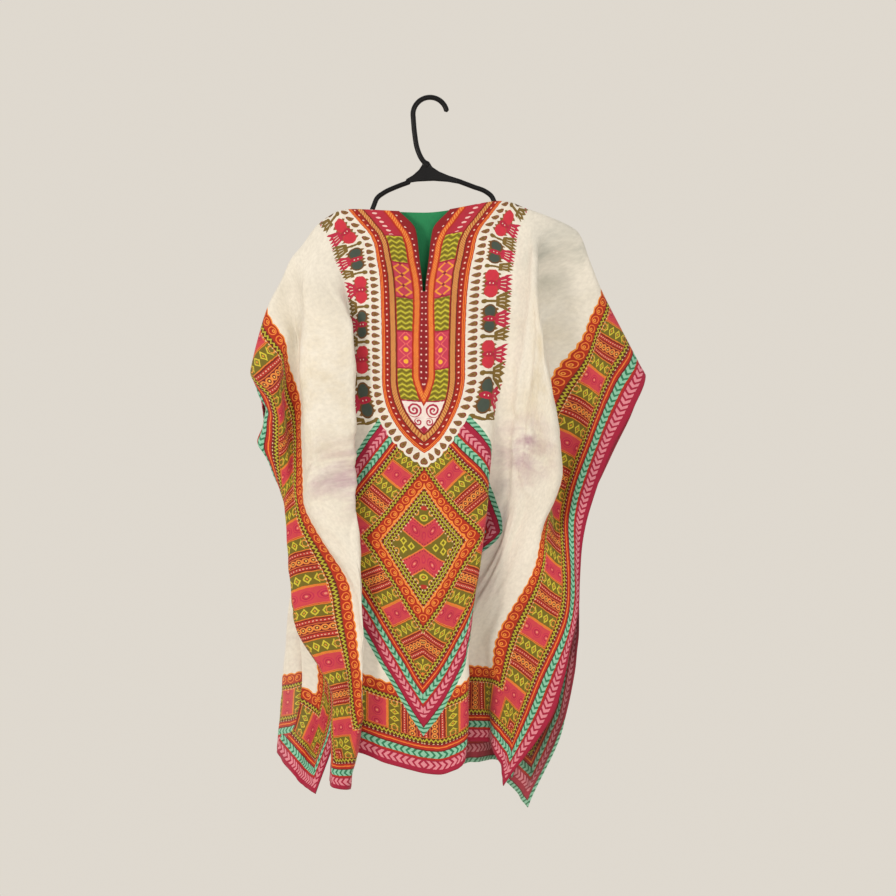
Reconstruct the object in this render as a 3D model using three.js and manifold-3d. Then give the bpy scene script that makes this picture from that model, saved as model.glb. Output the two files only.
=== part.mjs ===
// A printed cotton kaftan top hung on a moulded plastic clothes hanger.
//
// Millimetres, +Z up. The origin is the inside top of the hanger's hook, where a pin or a rail bears.
// The front of the garment faces -Y, and +X is the viewer's right.
//
// Both panels are cut alike: a straight hem, straight sides, and a shoulder seam that curves down to
// the sleeve end. "Flat" places are measured on the cut cloth: across from the centre line (negative
// on the viewer's left) and down from the neck. Each row of FRONT_FOLDS and BACK_FOLDS follows one
// ridge, valley or edge of the hung cloth from the shoulder to the hem, through the seven STATIONS.

import * as THREE from "three";
import { mergeVertices } from "three/addons/utils/BufferGeometryUtils.js";
import Module from "manifold-3d";

// ---- driving dimensions --------------------------------------------------------------------------

const HALF_WIDTH = 470; // centre line to the sleeve end, on the flat cloth
const LENGTH = 822; // neck to hem at the centre, on the flat cloth
const NECK_HALF = 108; // centre line to the start of the shoulder seam
const SHOULDER_DROP = 173; // how far the shoulder seam falls from the neck to the sleeve end
const SHOULDER_CURVE = 1.6; // power of that fall: straight at the neck, steeper to the sleeve
const NECK_DIP = 7; // how far the neck edge sinks at the centre
const SLIT_LENGTH = 125; // neck to the foot of the front slit

const CLOTH = 1.6; // wall of the cotton with its turned edges
const SEAM_GAP = 2.4; // between the two panels' middles along a seam
const NECK_OPEN = 5.5; // each panel's stand-off from the seam plane across the neck
const NECK_CORNER = 12; // width over which the seam opens into the neck
const CENTRE_SPAN = 50; // flat width between the centre and the folds beside it
const OVER_ARM = 5.5; // how far each panel stands off where it rounds the hanger's arm
const ARM_ROUNDING = 4; // depth below the shoulder seam over which it does so

const ARM_RADIUS = 3.3;
const ARM_DROP = 5.6; // arm centre below the shoulder seam, square to it
const HOOK_RADIUS = 24.8; // centre line of the hook
const HOOK_WIRE = 3.4; // radius of the hook's round section
const HOOK_CENTRE = -1.7; // how far the hook's arc lies to the left of the origin
const WEB_THICKNESS = 5;

const FACING_DEPTH = 165; // green facing inside the back neck
const FACING_THICKNESS = 1.2;
const FACING_GAP = 0.3;

// ---- the shoulder line and the hem ----------------------------------------------------------------

// Where the shoulder seam and the neck edge lie: flat place across, then x and z.
const SHOULDER = [
  { across: -470, x: -265, z: -405 },
  { across: -410, x: -255, z: -350 },
  { across: -350, x: -239, z: -302 },
  { across: -290, x: -218, z: -262 },
  { across: -245, x: -205, z: -233 },
  { across: -200, x: -188, z: -212 },
  { across: -165, x: -164, z: -181 },
  { across: -108, x: -122, z: -160 },
  { across: 0, x: -10, z: -164 },
  { across: 108, x: 104, z: -148 },
  { across: 165, x: 142, z: -160 },
  { across: 200, x: 170, z: -170 },
  { across: 245, x: 215, z: -194 },
  { across: 300, x: 231, z: -233 },
  { across: 350, x: 248, z: -276 },
  { across: 410, x: 280, z: -339 },
  { across: 470, x: 313, z: -402 },
];

// How low each panel's hem hangs: flat place across, then z.
const FRONT_HEM = [
  { across: -470, z: -987 },
  { across: -410, z: -996 },
  { across: -350, z: -999 },
  { across: -250, z: -976 },
  { across: -160, z: -950 },
  { across: -100, z: -947 },
  { across: -50, z: -963 },
  { across: 20, z: -976 },
  { across: 49, z: -966 },
  { across: 88, z: -950 },
  { across: 165, z: -944 },
  { across: 350, z: -935 },
  { across: 410, z: -961 },
  { across: 470, z: -993 },
];

const BACK_HEM = [
  { across: -470, z: -1009 },
  { across: -330, z: -950 },
  { across: -200, z: -940 },
  { across: -50, z: -969 },
  { across: 60, z: -990 },
  { across: 120, z: -970 },
  { across: 250, z: -976 },
  { across: 350, z: -987 },
  { across: 400, z: -1002 },
  { across: 470, z: -1027 },
];

// ---- the folds ------------------------------------------------------------------------------------

// Share of the way from the shoulder to the hem: shoulder, armhole, chest, waist, hip, thigh, hem.
const STATIONS = [0, 0.08, 0.2, 0.4, 0.6, 0.8, 1];

// One row for each fold line: its flat place across, its x and its depth y at each station.
const FRONT_FOLDS = [
  {
    fold: "left edge",
    across: [-470, -470, -470, -470, -470, -470, -470],
    x: [-265, -239, -233, -190, -164, -136, -146],
    y: [0, -22, -10, -4, -22, -40, -50],
  },
  {
    fold: "left hem turn",
    across: [-455, -452, -440, -440, -455, -460, -455],
    x: [-263, -236, -228, -193, -173, -142, -144],
    y: [0, -28, -18, -12, -28, -52, -62],
  },
  {
    fold: "left strip fold",
    across: [-420, -415, -405, -400, -432, -440, -438],
    x: [-258, -225, -213, -206, -202, -161, -139],
    y: [0, -34, -24, -24, -52, -76, -74],
  },
  {
    fold: "left ring band",
    across: [-350, -345, -350, -350, -350, -350, -375],
    x: [-242, -206, -191, -186, -138, -104, -119],
    y: [0, -22, -34, -50, -72, -84, -80],
  },
  {
    fold: "left sleeve valley",
    across: [-290, -300, -318, -320, -330, -344, -362],
    x: [-220, -200, -186, -175, -126, -97, -112],
    y: [0, -14, -38, -62, -78, -80, -70],
  },
  {
    fold: "left ridge",
    across: [-200, -212, -235, -262, -300, -340, -352],
    x: [-188, -183, -177, -155, -117, -96, -113],
    y: [0, -30, -58, -78, -84, -74, -62],
  },
  {
    fold: "left pleat edge",
    across: [-150, -150, -160, -207, -271, -332, -340],
    x: [-152, -117, -109, -106, -102, -99, -117],
    y: [0, -34, -62, -74, -76, -66, -54],
  },
  {
    fold: "left pleat back",
    across: [-125, -125, -136, -165, -195, -215, -225],
    x: [-135, -117, -125, -140, -135, -114, -120],
    y: [0, -26, -38, -28, -8, 2, 0],
  },
  {
    fold: "left panel",
    across: [-100, -100, -104, -105, -100, -100, -100],
    x: [-115, -112, -115, -117, -114, -109, -108],
    y: [0, -22, -44, -50, -50, -48, -46],
  },
  {
    fold: "centre left",
    across: [-50, -50, -50, -50, -50, -50, -50],
    x: [-61, -61, -61, -61, -61, -61, -61],
    y: [0, -14, -50, -64, -66, -58, -54],
  },
  {
    fold: "centre",
    across: [0, 0, 0, 0, 0, 0, 0],
    x: [-10, -10, -10, -10, -10, -10, -10],
    y: [0, -10, -52, -70, -76, -72, -68],
  },
  {
    fold: "centre right",
    across: [50, 50, 50, 50, 50, 42, 38],
    x: [39, 39, 39, 39, 39, 32, 28],
    y: [0, -14, -54, -74, -82, -82, -80],
  },
  {
    fold: "right panel edge",
    across: [88, 88, 88, 90, 88, 66, 50],
    x: [81, 80, 80, 80, 75, 52, 39],
    y: [0, -20, -52, -70, -78, -84, -84],
  },
  {
    fold: "right pleat back",
    across: [115, 112, 112, 116, 126, 150, 150],
    x: [107, 100, 100, 91, 59, 35, 25],
    y: [0, -24, -52, -58, -40, -22, -20],
  },
  {
    fold: "right pleat out",
    across: [150, 150, 150, 160, 180, 290, 300],
    x: [132, 129, 129, 117, 94, 48, 45],
    y: [0, -34, -64, -66, -40, -18, -16],
  },
  {
    fold: "right ridge",
    across: [190, 200, 225, 240, 250, 320, 325],
    x: [165, 149, 154, 145, 110, 68, 71],
    y: [0, -46, -82, -84, -52, -24, -20],
  },
  {
    fold: "right body fold",
    across: [215, 245, 300, 352, 308, 335, 345],
    x: [187, 155, 171, 183, 129, 80, 86],
    y: [0, -44, -76, -82, -56, -30, -24],
  },
  {
    fold: "right valley",
    across: [245, 275, 345, 388, 348, 350, 365],
    x: [213, 173, 177, 178, 149, 91, 88],
    y: [0, -22, -46, -52, -64, -36, -34],
  },
  {
    fold: "right ring band",
    across: [350, 350, 385, 416, 388, 385, 400],
    x: [248, 231, 223, 202, 170, 123, 97],
    y: [0, -20, -38, -44, -76, -52, -44],
  },
  {
    fold: "right strip",
    across: [410, 410, 425, 448, 430, 430, 430],
    x: [280, 265, 249, 214, 190, 149, 97],
    y: [0, -24, -40, -44, -74, -66, -56],
  },
  {
    fold: "right edge",
    across: [470, 470, 470, 470, 470, 470, 470],
    x: [313, 286, 254, 218, 204, 175, 100],
    y: [0, -18, -30, -36, -60, -72, -66],
  },
];

const BACK_FOLDS = [
  {
    fold: "left edge",
    across: [-470, -470, -470, -470, -470, -470, -470],
    x: [-265, -254, -232, -190, -164, -134, -168],
    y: [0, 4, 12, -1.6, -19.6, -33, -36],
  },
  {
    fold: "left outer ridge",
    across: [-410, -410, -410, -410, -410, -410, -410],
    x: [-257, -244, -217, -184, -172, -152, -182],
    y: [0, 18, 34, 42, 38, 16, 2],
  },
  {
    fold: "left outer valley",
    across: [-350, -350, -350, -350, -350, -350, -350],
    x: [-242, -233, -212, -199, -197, -188, -219],
    y: [0, 14, 12, 6, 0, -4, -6],
  },
  {
    fold: "left side ridge",
    across: [-300, -300, -300, -300, -300, -300, -300],
    x: [-224, -215, -198, -184, -203, -216, -228],
    y: [0, 22, 38, 44, 44, 42, 40],
  },
  {
    fold: "left side valley",
    across: [-245, -245, -245, -245, -245, -245, -245],
    x: [-207, -194, -172, -160, -172, -188, -203],
    y: [0, 14, 14, 10, 8, 6, 4],
  },
  {
    fold: "left back ridge",
    across: [-190, -190, -190, -190, -190, -190, -190],
    x: [-182, -168, -147, -131, -140, -156, -170],
    y: [0, 24, 40, 48, 50, 50, 50],
  },
  {
    fold: "left back valley",
    across: [-130, -130, -130, -130, -130, -130, -130],
    x: [-137, -124, -112, -102, -107, -121, -132],
    y: [0, 13, 13, 13, 13, 14, 14],
  },
  {
    fold: "centre left ridge",
    across: [-68, -68, -68, -68, -68, -68, -68],
    x: [-77, -71, -67, -62, -63, -71, -78],
    y: [0, 12, 24, 40, 46, 50, 52],
  },
  {
    fold: "centre",
    across: [0, 0, 0, 0, 0, 0, 0],
    x: [-10, -10, -16, -19, -19, -22, -25],
    y: [0, 13, 17, 19, 21, 23, 24],
  },
  {
    fold: "centre right ridge",
    across: [65, 65, 65, 65, 65, 65, 65],
    x: [59, 50, 40, 32, 31, 28, 23],
    y: [0, 12, 26, 44, 48, 50, 50],
  },
  {
    fold: "right back valley",
    across: [125, 125, 125, 125, 125, 125, 125],
    x: [114, 105, 90, 78, 74, 71, 65],
    y: [0, 13, 13, 13, 14, 14, 14],
  },
  {
    fold: "right back ridge",
    across: [180, 180, 180, 180, 180, 180, 180],
    x: [152, 151, 133, 120, 112, 103, 96],
    y: [0, 24, 40, 48, 50, 50, 48],
  },
  {
    fold: "right side valley",
    across: [235, 235, 235, 235, 235, 235, 235],
    x: [204, 196, 175, 156, 146, 136, 118],
    y: [0, 14, 14, 11, 9, 6, 4],
  },
  {
    fold: "right side ridge",
    across: [285, 285, 285, 285, 285, 285, 285],
    x: [228, 217, 199, 176, 165, 156, 119],
    y: [0, 24, 38, 44, 44, 42, 38],
  },
  {
    fold: "right outer valley",
    across: [335, 335, 335, 335, 335, 335, 335],
    x: [242, 236, 218, 194, 184, 178, 115],
    y: [0, 13, 11, 7, 3, -2, -4],
  },
  {
    fold: "right outer ridge",
    across: [385, 385, 385, 385, 385, 385, 385],
    x: [266, 256, 236, 208, 197, 191, 121],
    y: [0, 20, 32, 36, 24, 26, 24],
  },
  {
    fold: "right turn",
    across: [430, 430, 430, 430, 430, 430, 430],
    x: [290, 277, 251, 218, 206, 200, 125],
    y: [0, 12, 15, 4, -18, -12, -12],
  },
  {
    fold: "right edge",
    across: [470, 470, 470, 470, 470, 470, 470],
    x: [313, 299, 264, 222, 209, 202, 138],
    y: [0, 2, -2, -30, -57, -48, -44],
  },
];

// Rows of the cloth's mesh, as shares of the way down: close together where it rounds the hanger's
// arm, and with one row at the foot of the slit.
const SLIT_ROW = (SLIT_LENGTH - NECK_DIP) / (LENGTH - NECK_DIP);
const ROWS = [0, 0.0025, 0.005, 0.009, 0.017, 0.03, 0.055, 0.08, 0.11, SLIT_ROW, 0.19, 0.24, 0.3, 0.36,
  0.42, 0.48, 0.54, 0.6, 0.66, 0.72, 0.78, 0.84, 0.9, 0.95, 1];
const COLUMNS_PER_FOLD = 2;
const NECK_FOLDS = 3; // folds on either side of the back's centre that have twice as many columns

// ---- smooth curves through the tables -------------------------------------------------------------

// Slopes of a curve through the knots that never overshoots them.
function steadySlopes(at, value) {
  const step = at.slice(1).map((a, i) => a - at[i]);
  const rise = step.map((h, i) => (value[i + 1] - value[i]) / h);
  return at.map((_, i) => {
    if (i === 0) return rise[0];
    if (i === at.length - 1) return rise[i - 1];
    if (rise[i - 1] * rise[i] <= 0) return 0;
    const w1 = 2 * step[i] + step[i - 1];
    const w2 = step[i] + 2 * step[i - 1];
    return (w1 + w2) / (w1 / rise[i - 1] + w2 / rise[i]);
  });
}

// Slopes of a curve that rounds each knot, like cloth over a fold.
function roundSlopes(at, value) {
  const step = at.slice(1).map((a, i) => a - at[i]);
  const rise = step.map((h, i) => (value[i + 1] - value[i]) / h);
  return at.map((_, i) => {
    if (i === 0) return rise[0];
    if (i === at.length - 1) return rise[i - 1];
    return (rise[i - 1] * step[i] + rise[i] * step[i - 1]) / (step[i] + step[i - 1]);
  });
}

function curve(at, value, slopes, where) {
  let i = 0;
  while (i < at.length - 2 && where >= at[i + 1]) i += 1;
  const h = at[i + 1] - at[i];
  const u = (where - at[i]) / h;
  const u2 = u * u;
  const u3 = u2 * u;
  return (2 * u3 - 3 * u2 + 1) * value[i] + (u3 - 2 * u2 + u) * h * slopes[i]
    + (3 * u2 - 2 * u3) * value[i + 1] + (u3 - u2) * h * slopes[i + 1];
}

function steadyCurve(rows, key) {
  const at = rows.map((row) => row.across);
  const value = rows.map((row) => row[key]);
  const slopes = steadySlopes(at, value);
  return (where) => curve(at, value, slopes, where);
}

const shoulderX = steadyCurve(SHOULDER, "x");
const shoulderZ = steadyCurve(SHOULDER, "z");

// How far below the neck the panel's upper edge is cut, on the flat cloth.
function cutTop(across) {
  const out = Math.abs(across);
  const along = Math.min(Math.max((out - NECK_HALF) / (HALF_WIDTH - NECK_HALF), 0), 1);
  const dip = NECK_DIP * Math.max(1 - (out / NECK_HALF) ** 2, 0);
  return SHOULDER_DROP * along ** SHOULDER_CURVE + dip;
}

// Half the width of the slit on the flat cloth: a funnel at the neck, closed at its foot.
function slitHalf(down) {
  const at = [NECK_DIP, 33, 74, SLIT_LENGTH, LENGTH];
  const half = [34, 12, 7, 2, 2];
  return curve(at, half, steadySlopes(at, half), Math.max(down, NECK_DIP));
}

// ---- the hung cloth -------------------------------------------------------------------------------

// A panel's middle surface: side is -1 for the front, 1 for the back.
function panelForm(folds, hemRows, side) {
  const hemZ = steadyCurve(hemRows, "z");
  const stationCurves = folds.map((row) => {
    const x = row.x.slice();
    x[0] = shoulderX(row.across[0]);
    return {
      across: [row.across, steadySlopes(STATIONS, row.across)],
      x: [x, steadySlopes(STATIONS, x)],
      y: [row.y, steadySlopes(STATIONS, row.y)],
    };
  });

  // The point at share `down` of the way to the hem and at `index` along the list of folds.
  return function point(index, down) {
    const knots = stationCurves.map((fold) => ({
      across: curve(STATIONS, ...fold.across, down),
      x: curve(STATIONS, ...fold.x, down),
      y: curve(STATIONS, ...fold.y, down),
    }));
    const at = [0];
    for (let i = 1; i < knots.length; i += 1) {
      at.push(at[i - 1] + Math.max(knots[i].across - knots[i - 1].across, 1));
    }
    const low = Math.min(Math.floor(index), knots.length - 2);
    const share = index - low;
    const where = at[low] + share * (at[low + 1] - at[low]);
    const across = knots[low].across + share * (knots[low + 1].across - knots[low].across);
    const xs = knots.map((k) => k.x);
    const ys = knots.map((k) => k.y);
    let x = curve(at, xs, roundSlopes(at, xs), where);
    let y = curve(at, ys, roundSlopes(at, ys), where);
    const top = cutTop(across);
    const flatDown = top + down * (LENGTH - top);
    const below = flatDown - top;

    // Near its upper edge the panel keeps to the shoulder line, and rounds the hanger's arm.
    x += Math.max(1 - down / STATIONS[1], 0) ** 2 * (shoulderX(across) - x);
    const neck = Math.min(Math.max((NECK_HALF - Math.abs(across)) / NECK_CORNER, 0), 1);
    const roundArm = OVER_ARM * (1 - Math.exp(-below / ARM_ROUNDING)) * (1 - neck);
    const standOff = SEAM_GAP / 2 + roundArm + NECK_OPEN * neck;
    y += side * standOff * Math.max(1 - down / STATIONS[2], 0) ** 2;

    const z = shoulderZ(across) * (1 - down) + hemZ(across) * down;
    return { position: new THREE.Vector3(x, y, z), across, flatDown };
  };
}

const frontPoint = panelForm(FRONT_FOLDS, FRONT_HEM, -1);
const backPoint = panelForm(BACK_FOLDS, BACK_HEM, 1);

// Columns of a panel's mesh, as places along its list of folds. The slit doubles the centre column.
function columnsOf(folds, slit) {
  const centre = folds.findIndex((row) => row.fold === "centre");
  const columns = [];
  for (let i = 0; i < folds.length - 1; i += 1) {
    const nearNeck = !slit && i >= centre - NECK_FOLDS && i < centre + NECK_FOLDS;
    const count = nearNeck ? 2 * COLUMNS_PER_FOLD : COLUMNS_PER_FOLD;
    for (let k = 0; k < count; k += 1) columns.push({ index: i + k / count, slitSide: 0 });
  }
  columns.push({ index: folds.length - 1, slitSide: 0 });
  if (!slit) return columns;
  return columns.flatMap((column) => {
    if (Math.abs(column.index - centre) >= 1) return [column];
    const side = Math.sign(column.index - centre);
    if (side !== 0) return [{ ...column, slitSide: side }];
    return [{ ...column, slitSide: -1 }, { ...column, slitSide: 1 }];
  });
}

const FRONT_CENTRE = FRONT_FOLDS.findIndex((row) => row.fold === "centre");

// Beside the slit, columns close up so that the innermost one follows the slit's edge.
function besideSlit(column, flatDown) {
  if (column.slitSide === 0) return column.index;
  const half = slitHalf(flatDown);
  const away = Math.abs(column.index - FRONT_CENTRE);
  return FRONT_CENTRE + column.slitSide * (half + away * (CENTRE_SPAN - half)) / CENTRE_SPAN;
}

// ---- from a middle surface to a closed wall -------------------------------------------------------

// grid[column][row] holds points; open(column, row) says that a cell is cut away.
function wallGeometry(grid, thickness, open = () => false) {
  const columns = grid.length;
  const rows = grid[0].length;
  const cells = [];
  for (let i = 0; i < columns - 1; i += 1) {
    for (let j = 0; j < rows - 1; j += 1) {
      if (!open(i, j)) cells.push([i, j]);
    }
  }
  const id = (i, j) => i * rows + j;
  const normals = Array.from({ length: columns * rows }, () => new THREE.Vector3());
  const triangles = [];
  for (const [i, j] of cells) {
    const a = id(i, j);
    const b = id(i + 1, j);
    const c = id(i + 1, j + 1);
    const d = id(i, j + 1);
    triangles.push([a, c, b], [a, d, c]);
  }
  const at = (v) => grid[Math.floor(v / rows)][v % rows];
  const edge1 = new THREE.Vector3();
  const edge2 = new THREE.Vector3();
  for (const [a, b, c] of triangles) {
    edge1.subVectors(at(b), at(a));
    edge2.subVectors(at(c), at(a));
    const face = edge1.clone().cross(edge2);
    for (const v of [a, b, c]) normals[v].add(face);
  }
  const positions = [];
  for (const offset of [0.5, -0.5]) {
    for (let v = 0; v < columns * rows; v += 1) {
      const out = normals[v].clone().normalize().multiplyScalar(offset * thickness);
      positions.push(...at(v).clone().add(out).toArray());
    }
  }
  const under = columns * rows;
  const index = [];
  const edges = new Map();
  for (const [a, b, c] of triangles) {
    index.push(a, b, c, a + under, c + under, b + under);
    for (const [from, to] of [[a, b], [b, c], [c, a]]) {
      if (edges.has(to + "_" + from)) edges.delete(to + "_" + from);
      else edges.set(from + "_" + to, [from, to]);
    }
  }
  for (const [from, to] of edges.values()) {
    index.push(from, from + under, to + under, from, to + under, to);
  }
  const used = new Map();
  const kept = [];
  const compact = index.map((v) => {
    if (!used.has(v)) {
      used.set(v, used.size);
      kept.push(positions[3 * v], positions[3 * v + 1], positions[3 * v + 2]);
    }
    return used.get(v);
  });
  const geometry = new THREE.BufferGeometry();
  geometry.setAttribute("position", new THREE.Float32BufferAttribute(kept, 3));
  geometry.setIndex(compact);
  return geometry;
}

// ---- materials ------------------------------------------------------------------------------------

const printedCotton = new THREE.MeshStandardMaterial({ color: "#b8553a", roughness: 0.85 });
const creamCotton = new THREE.MeshStandardMaterial({ color: "#e6dfcc", roughness: 0.85 });
const greenCotton = new THREE.MeshStandardMaterial({ color: "#1e8a55", roughness: 0.85 });
const blackPlastic = new THREE.MeshStandardMaterial({ color: "#16161c", roughness: 0.35 });

function mesh(name, geometry, material) {
  const made = new THREE.Mesh(geometry, material);
  made.name = name;
  return made;
}

// ---- the cut pieces -------------------------------------------------------------------------------

function frontPanel() {
  const columns = columnsOf(FRONT_FOLDS, true);
  const grid = columns.map((column) => ROWS.map((down) => {
    const flatDown = frontPoint(column.index, down).flatDown;
    return frontPoint(besideSlit(column, flatDown), down).position;
  }));
  const slitRow = ROWS.indexOf(SLIT_ROW);
  const isSlit = (i, j) => columns[i].slitSide === -1 && columns[i + 1].slitSide === 1 && j < slitRow;
  return mesh("front_panel", wallGeometry(grid, CLOTH, isSlit), printedCotton);
}

function backPanel() {
  const grid = columnsOf(BACK_FOLDS, false)
    .map((column) => ROWS.map((down) => backPoint(column.index, down).position))
    .reverse();
  return mesh("back_panel", wallGeometry(grid, CLOTH), creamCotton);
}

// The facing follows the back panel's inner face, moved in by both half walls and a gap.
function neckFacing() {
  const centre = BACK_FOLDS.findIndex((row) => row.fold === "centre");
  const inward = (CLOTH + FACING_THICKNESS) / 2 + FACING_GAP;
  const rows = ROWS.filter((down) => down * LENGTH < FACING_DEPTH);
  const grid = columnsOf(BACK_FOLDS, false)
    .filter((column) => Math.abs(column.index - centre) <= 1)
    .map(({ index }) => rows.map((down) => {
      const here = backPoint(index, down).position;
      const beside = backPoint(index + 0.02, down).position.sub(here);
      const below = backPoint(index, down + 0.004).position.sub(here);
      const normal = beside.cross(below).normalize();
      return here.addScaledVector(normal, -Math.sign(normal.y) * inward);
    }))
    .reverse();
  return mesh("neck_facing", wallGeometry(grid, FACING_THICKNESS), greenCotton);
}

// ---- the hanger -----------------------------------------------------------------------------------

function roundBar(points, radius, steps) {
  const circle = new THREE.Shape();
  circle.absarc(0, 0, radius, 0, 2 * Math.PI, false);
  const path = new THREE.CatmullRomCurve3(points, false, "centripetal");
  const settings = { extrudePath: path, steps, curveSegments: 5, bevelEnabled: false };
  return new THREE.ExtrudeGeometry(circle, settings);
}

// The stem under the hook, and each arm from the web down through the neck, round the strap notch.
const STEM = [
  { x: -24, z: -50 },
  { x: -20, z: -72 },
  { x: -15, z: -84 },
  { x: -5, z: -97 },
];
const LEFT_ARM = [
  { x: -32, z: -119 },
  { x: -58, z: -131 },
  { x: -76, z: -138.5 },
  { x: -82.5, z: -148 },
  { x: -84, z: -162 },
  { x: -92, z: -171 },
  { x: -108, z: -173 },
];
const RIGHT_ARM = [
  { x: 38, z: -118 },
  { x: 62, z: -127 },
  { x: 82, z: -131.5 },
  { x: 89, z: -140 },
  { x: 91, z: -152 },
  { x: 98, z: -159 },
  { x: 110, z: -160.5 },
];

// From its notch each arm runs on under the shoulder seam, between these flat places across.
const UNDER_SEAM = { from: 138, step: 17.4, leftEnd: 208, rightEnd: 225 };

const inFrontView = ({ x, z }) => new THREE.Vector3(x, 0, z);

// Hook: an arc round the rail, from its free tip on the right over the top, then the bent stem.
function hookPoints() {
  const centreZ = HOOK_WIRE - HOOK_RADIUS;
  const arc = new THREE.Path().absarc(HOOK_CENTRE, centreZ, HOOK_RADIUS, -0.14, Math.PI, false);
  const round = arc.getPoints(10).map(({ x, y }) => new THREE.Vector3(x, 0, y));
  return [...round, ...STEM.map(inFrontView)];
}

function armPoints(outside, side, end) {
  const points = outside.map(inFrontView);
  for (let across = UNDER_SEAM.from; across <= end; across += UNDER_SEAM.step) {
    const here = new THREE.Vector2(shoulderX(side * across), shoulderZ(side * across));
    const next = new THREE.Vector2(shoulderX(side * (across + 1)), shoulderZ(side * (across + 1)));
    const along = next.sub(here).normalize();
    const drop = new THREE.Vector2(side * along.y, -side * along.x).multiplyScalar(ARM_DROP);
    points.push(new THREE.Vector3(here.x + drop.x, 0, here.y + drop.y));
  }
  return points;
}

function webGeometry() {
  const outline = new THREE.Shape();
  outline.moveTo(-12, -89);
  outline.quadraticCurveTo(-12, -100, -36, -115.5);
  outline.lineTo(-36, -122);
  outline.quadraticCurveTo(0, -114, 45, -123.5);
  outline.lineTo(44, -116.5);
  outline.quadraticCurveTo(10, -104, -4, -92);
  outline.closePath();
  const settings = { depth: WEB_THICKNESS, curveSegments: 6, bevelEnabled: false };
  return new THREE.ExtrudeGeometry(outline, settings)
    .rotateX(Math.PI / 2)
    .translate(0, WEB_THICKNESS / 2, 0);
}

const wasm = await Module();
wasm.setup();

function solidOf(geometry) {
  const bare = geometry.clone();
  bare.deleteAttribute("normal");
  bare.deleteAttribute("uv");
  const merged = mergeVertices(bare, 1e-4);
  return new wasm.Manifold(new wasm.Mesh({
    numProp: 3,
    vertProperties: new Float32Array(merged.attributes.position.array),
    triVerts: new Uint32Array(merged.index.array),
  }));
}

function geometryOf(solid) {
  const made = solid.getMesh();
  const geometry = new THREE.BufferGeometry();
  geometry.setAttribute("position", new THREE.Float32BufferAttribute(made.vertProperties, 3));
  geometry.setIndex(Array.from(made.triVerts));
  return geometry;
}

function hanger() {
  const pieces = [
    roundBar(hookPoints(), HOOK_WIRE, 40),
    webGeometry(),
    roundBar(armPoints(LEFT_ARM, -1, UNDER_SEAM.leftEnd), ARM_RADIUS, 36),
    roundBar(armPoints(RIGHT_ARM, 1, UNDER_SEAM.rightEnd), ARM_RADIUS, 36),
  ];
  const joined = pieces.map(solidOf).reduce((all, next) => all.add(next));
  return mesh("hanger", geometryOf(joined), blackPlastic);
}

const group = new THREE.Group();
group.add(frontPanel(), backPanel(), neckFacing(), hanger());

export default group;
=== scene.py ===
"""A printed cotton kaftan top hung on a moulded plastic hanger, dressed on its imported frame.

Metres, +Z up, and the garment's front faces -Y. The cut and the folds are given in millimetres and lie
on the frame's solids, and the cloth is one thin shell for each panel.
"""

import math

import bmesh
import bpy
import numpy as np
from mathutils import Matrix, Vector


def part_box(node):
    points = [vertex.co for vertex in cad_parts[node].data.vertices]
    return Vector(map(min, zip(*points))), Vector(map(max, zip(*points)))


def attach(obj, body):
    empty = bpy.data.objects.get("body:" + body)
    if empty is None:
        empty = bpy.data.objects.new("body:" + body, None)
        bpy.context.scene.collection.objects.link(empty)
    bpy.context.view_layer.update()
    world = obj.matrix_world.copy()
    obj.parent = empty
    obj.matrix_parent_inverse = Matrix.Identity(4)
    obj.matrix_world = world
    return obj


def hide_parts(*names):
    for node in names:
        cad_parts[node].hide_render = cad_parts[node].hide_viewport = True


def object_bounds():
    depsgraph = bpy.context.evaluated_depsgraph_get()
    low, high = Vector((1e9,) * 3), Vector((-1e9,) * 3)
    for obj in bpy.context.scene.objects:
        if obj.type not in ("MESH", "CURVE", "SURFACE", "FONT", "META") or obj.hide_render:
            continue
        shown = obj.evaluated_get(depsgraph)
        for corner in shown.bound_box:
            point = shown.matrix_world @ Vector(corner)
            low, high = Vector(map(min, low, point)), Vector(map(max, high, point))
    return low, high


bl_info = {
    "name": "Hung kaftan top",
    "version": (1, 0, 0),
    "blender": (4, 5, 0),
    "location": "3D View > Sidebar > Kaftan",
    "description": "Builds a printed kaftan top hung on a plastic hanger, with its stage",
    "category": "Object",
}

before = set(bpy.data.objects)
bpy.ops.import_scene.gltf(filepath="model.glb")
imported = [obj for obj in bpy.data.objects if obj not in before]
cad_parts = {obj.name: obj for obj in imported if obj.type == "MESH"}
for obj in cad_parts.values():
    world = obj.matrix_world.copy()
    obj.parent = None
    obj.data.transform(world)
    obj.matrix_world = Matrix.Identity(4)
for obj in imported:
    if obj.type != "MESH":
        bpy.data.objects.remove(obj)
CAD_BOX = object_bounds()

# ---- the cut, in millimetres on the flat cloth ----------------------------------------------------

MM = 0.001
HALF_WIDTH = 470.0  # centre line to the sleeve end
LENGTH = 822.0  # neck to hem at the centre
NECK_HALF = 108.0  # centre line to the start of the shoulder seam
SHOULDER_DROP = 173.0
SHOULDER_CURVE = 1.6  # 1 is a straight seam, more is flatter at the neck
NECK_DIP = 7.0
SLIT_LENGTH = 125.0
SEAM_GAP = 0.9  # between the middles of the two panels at the shoulder
NECK_OPEN = 5.5  # how far each panel stands off the middle at the neck
NECK_CORNER = 12.0  # over this width the neck's stand-off fades to the seam's
OVER_ARM = 5.5  # how far the cloth bulges over the hanger's arm
ARM_ROUNDING = 4.0
CENTRE_SPAN = 50.0  # from the centre line to the fold lines beside it
HEM_TURN = 9.0  # width of the turned and sewn edge
FACING_DEPTH = 165.0
FACING_GAP = 1.6  # from the back panel to the facing inside it

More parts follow.
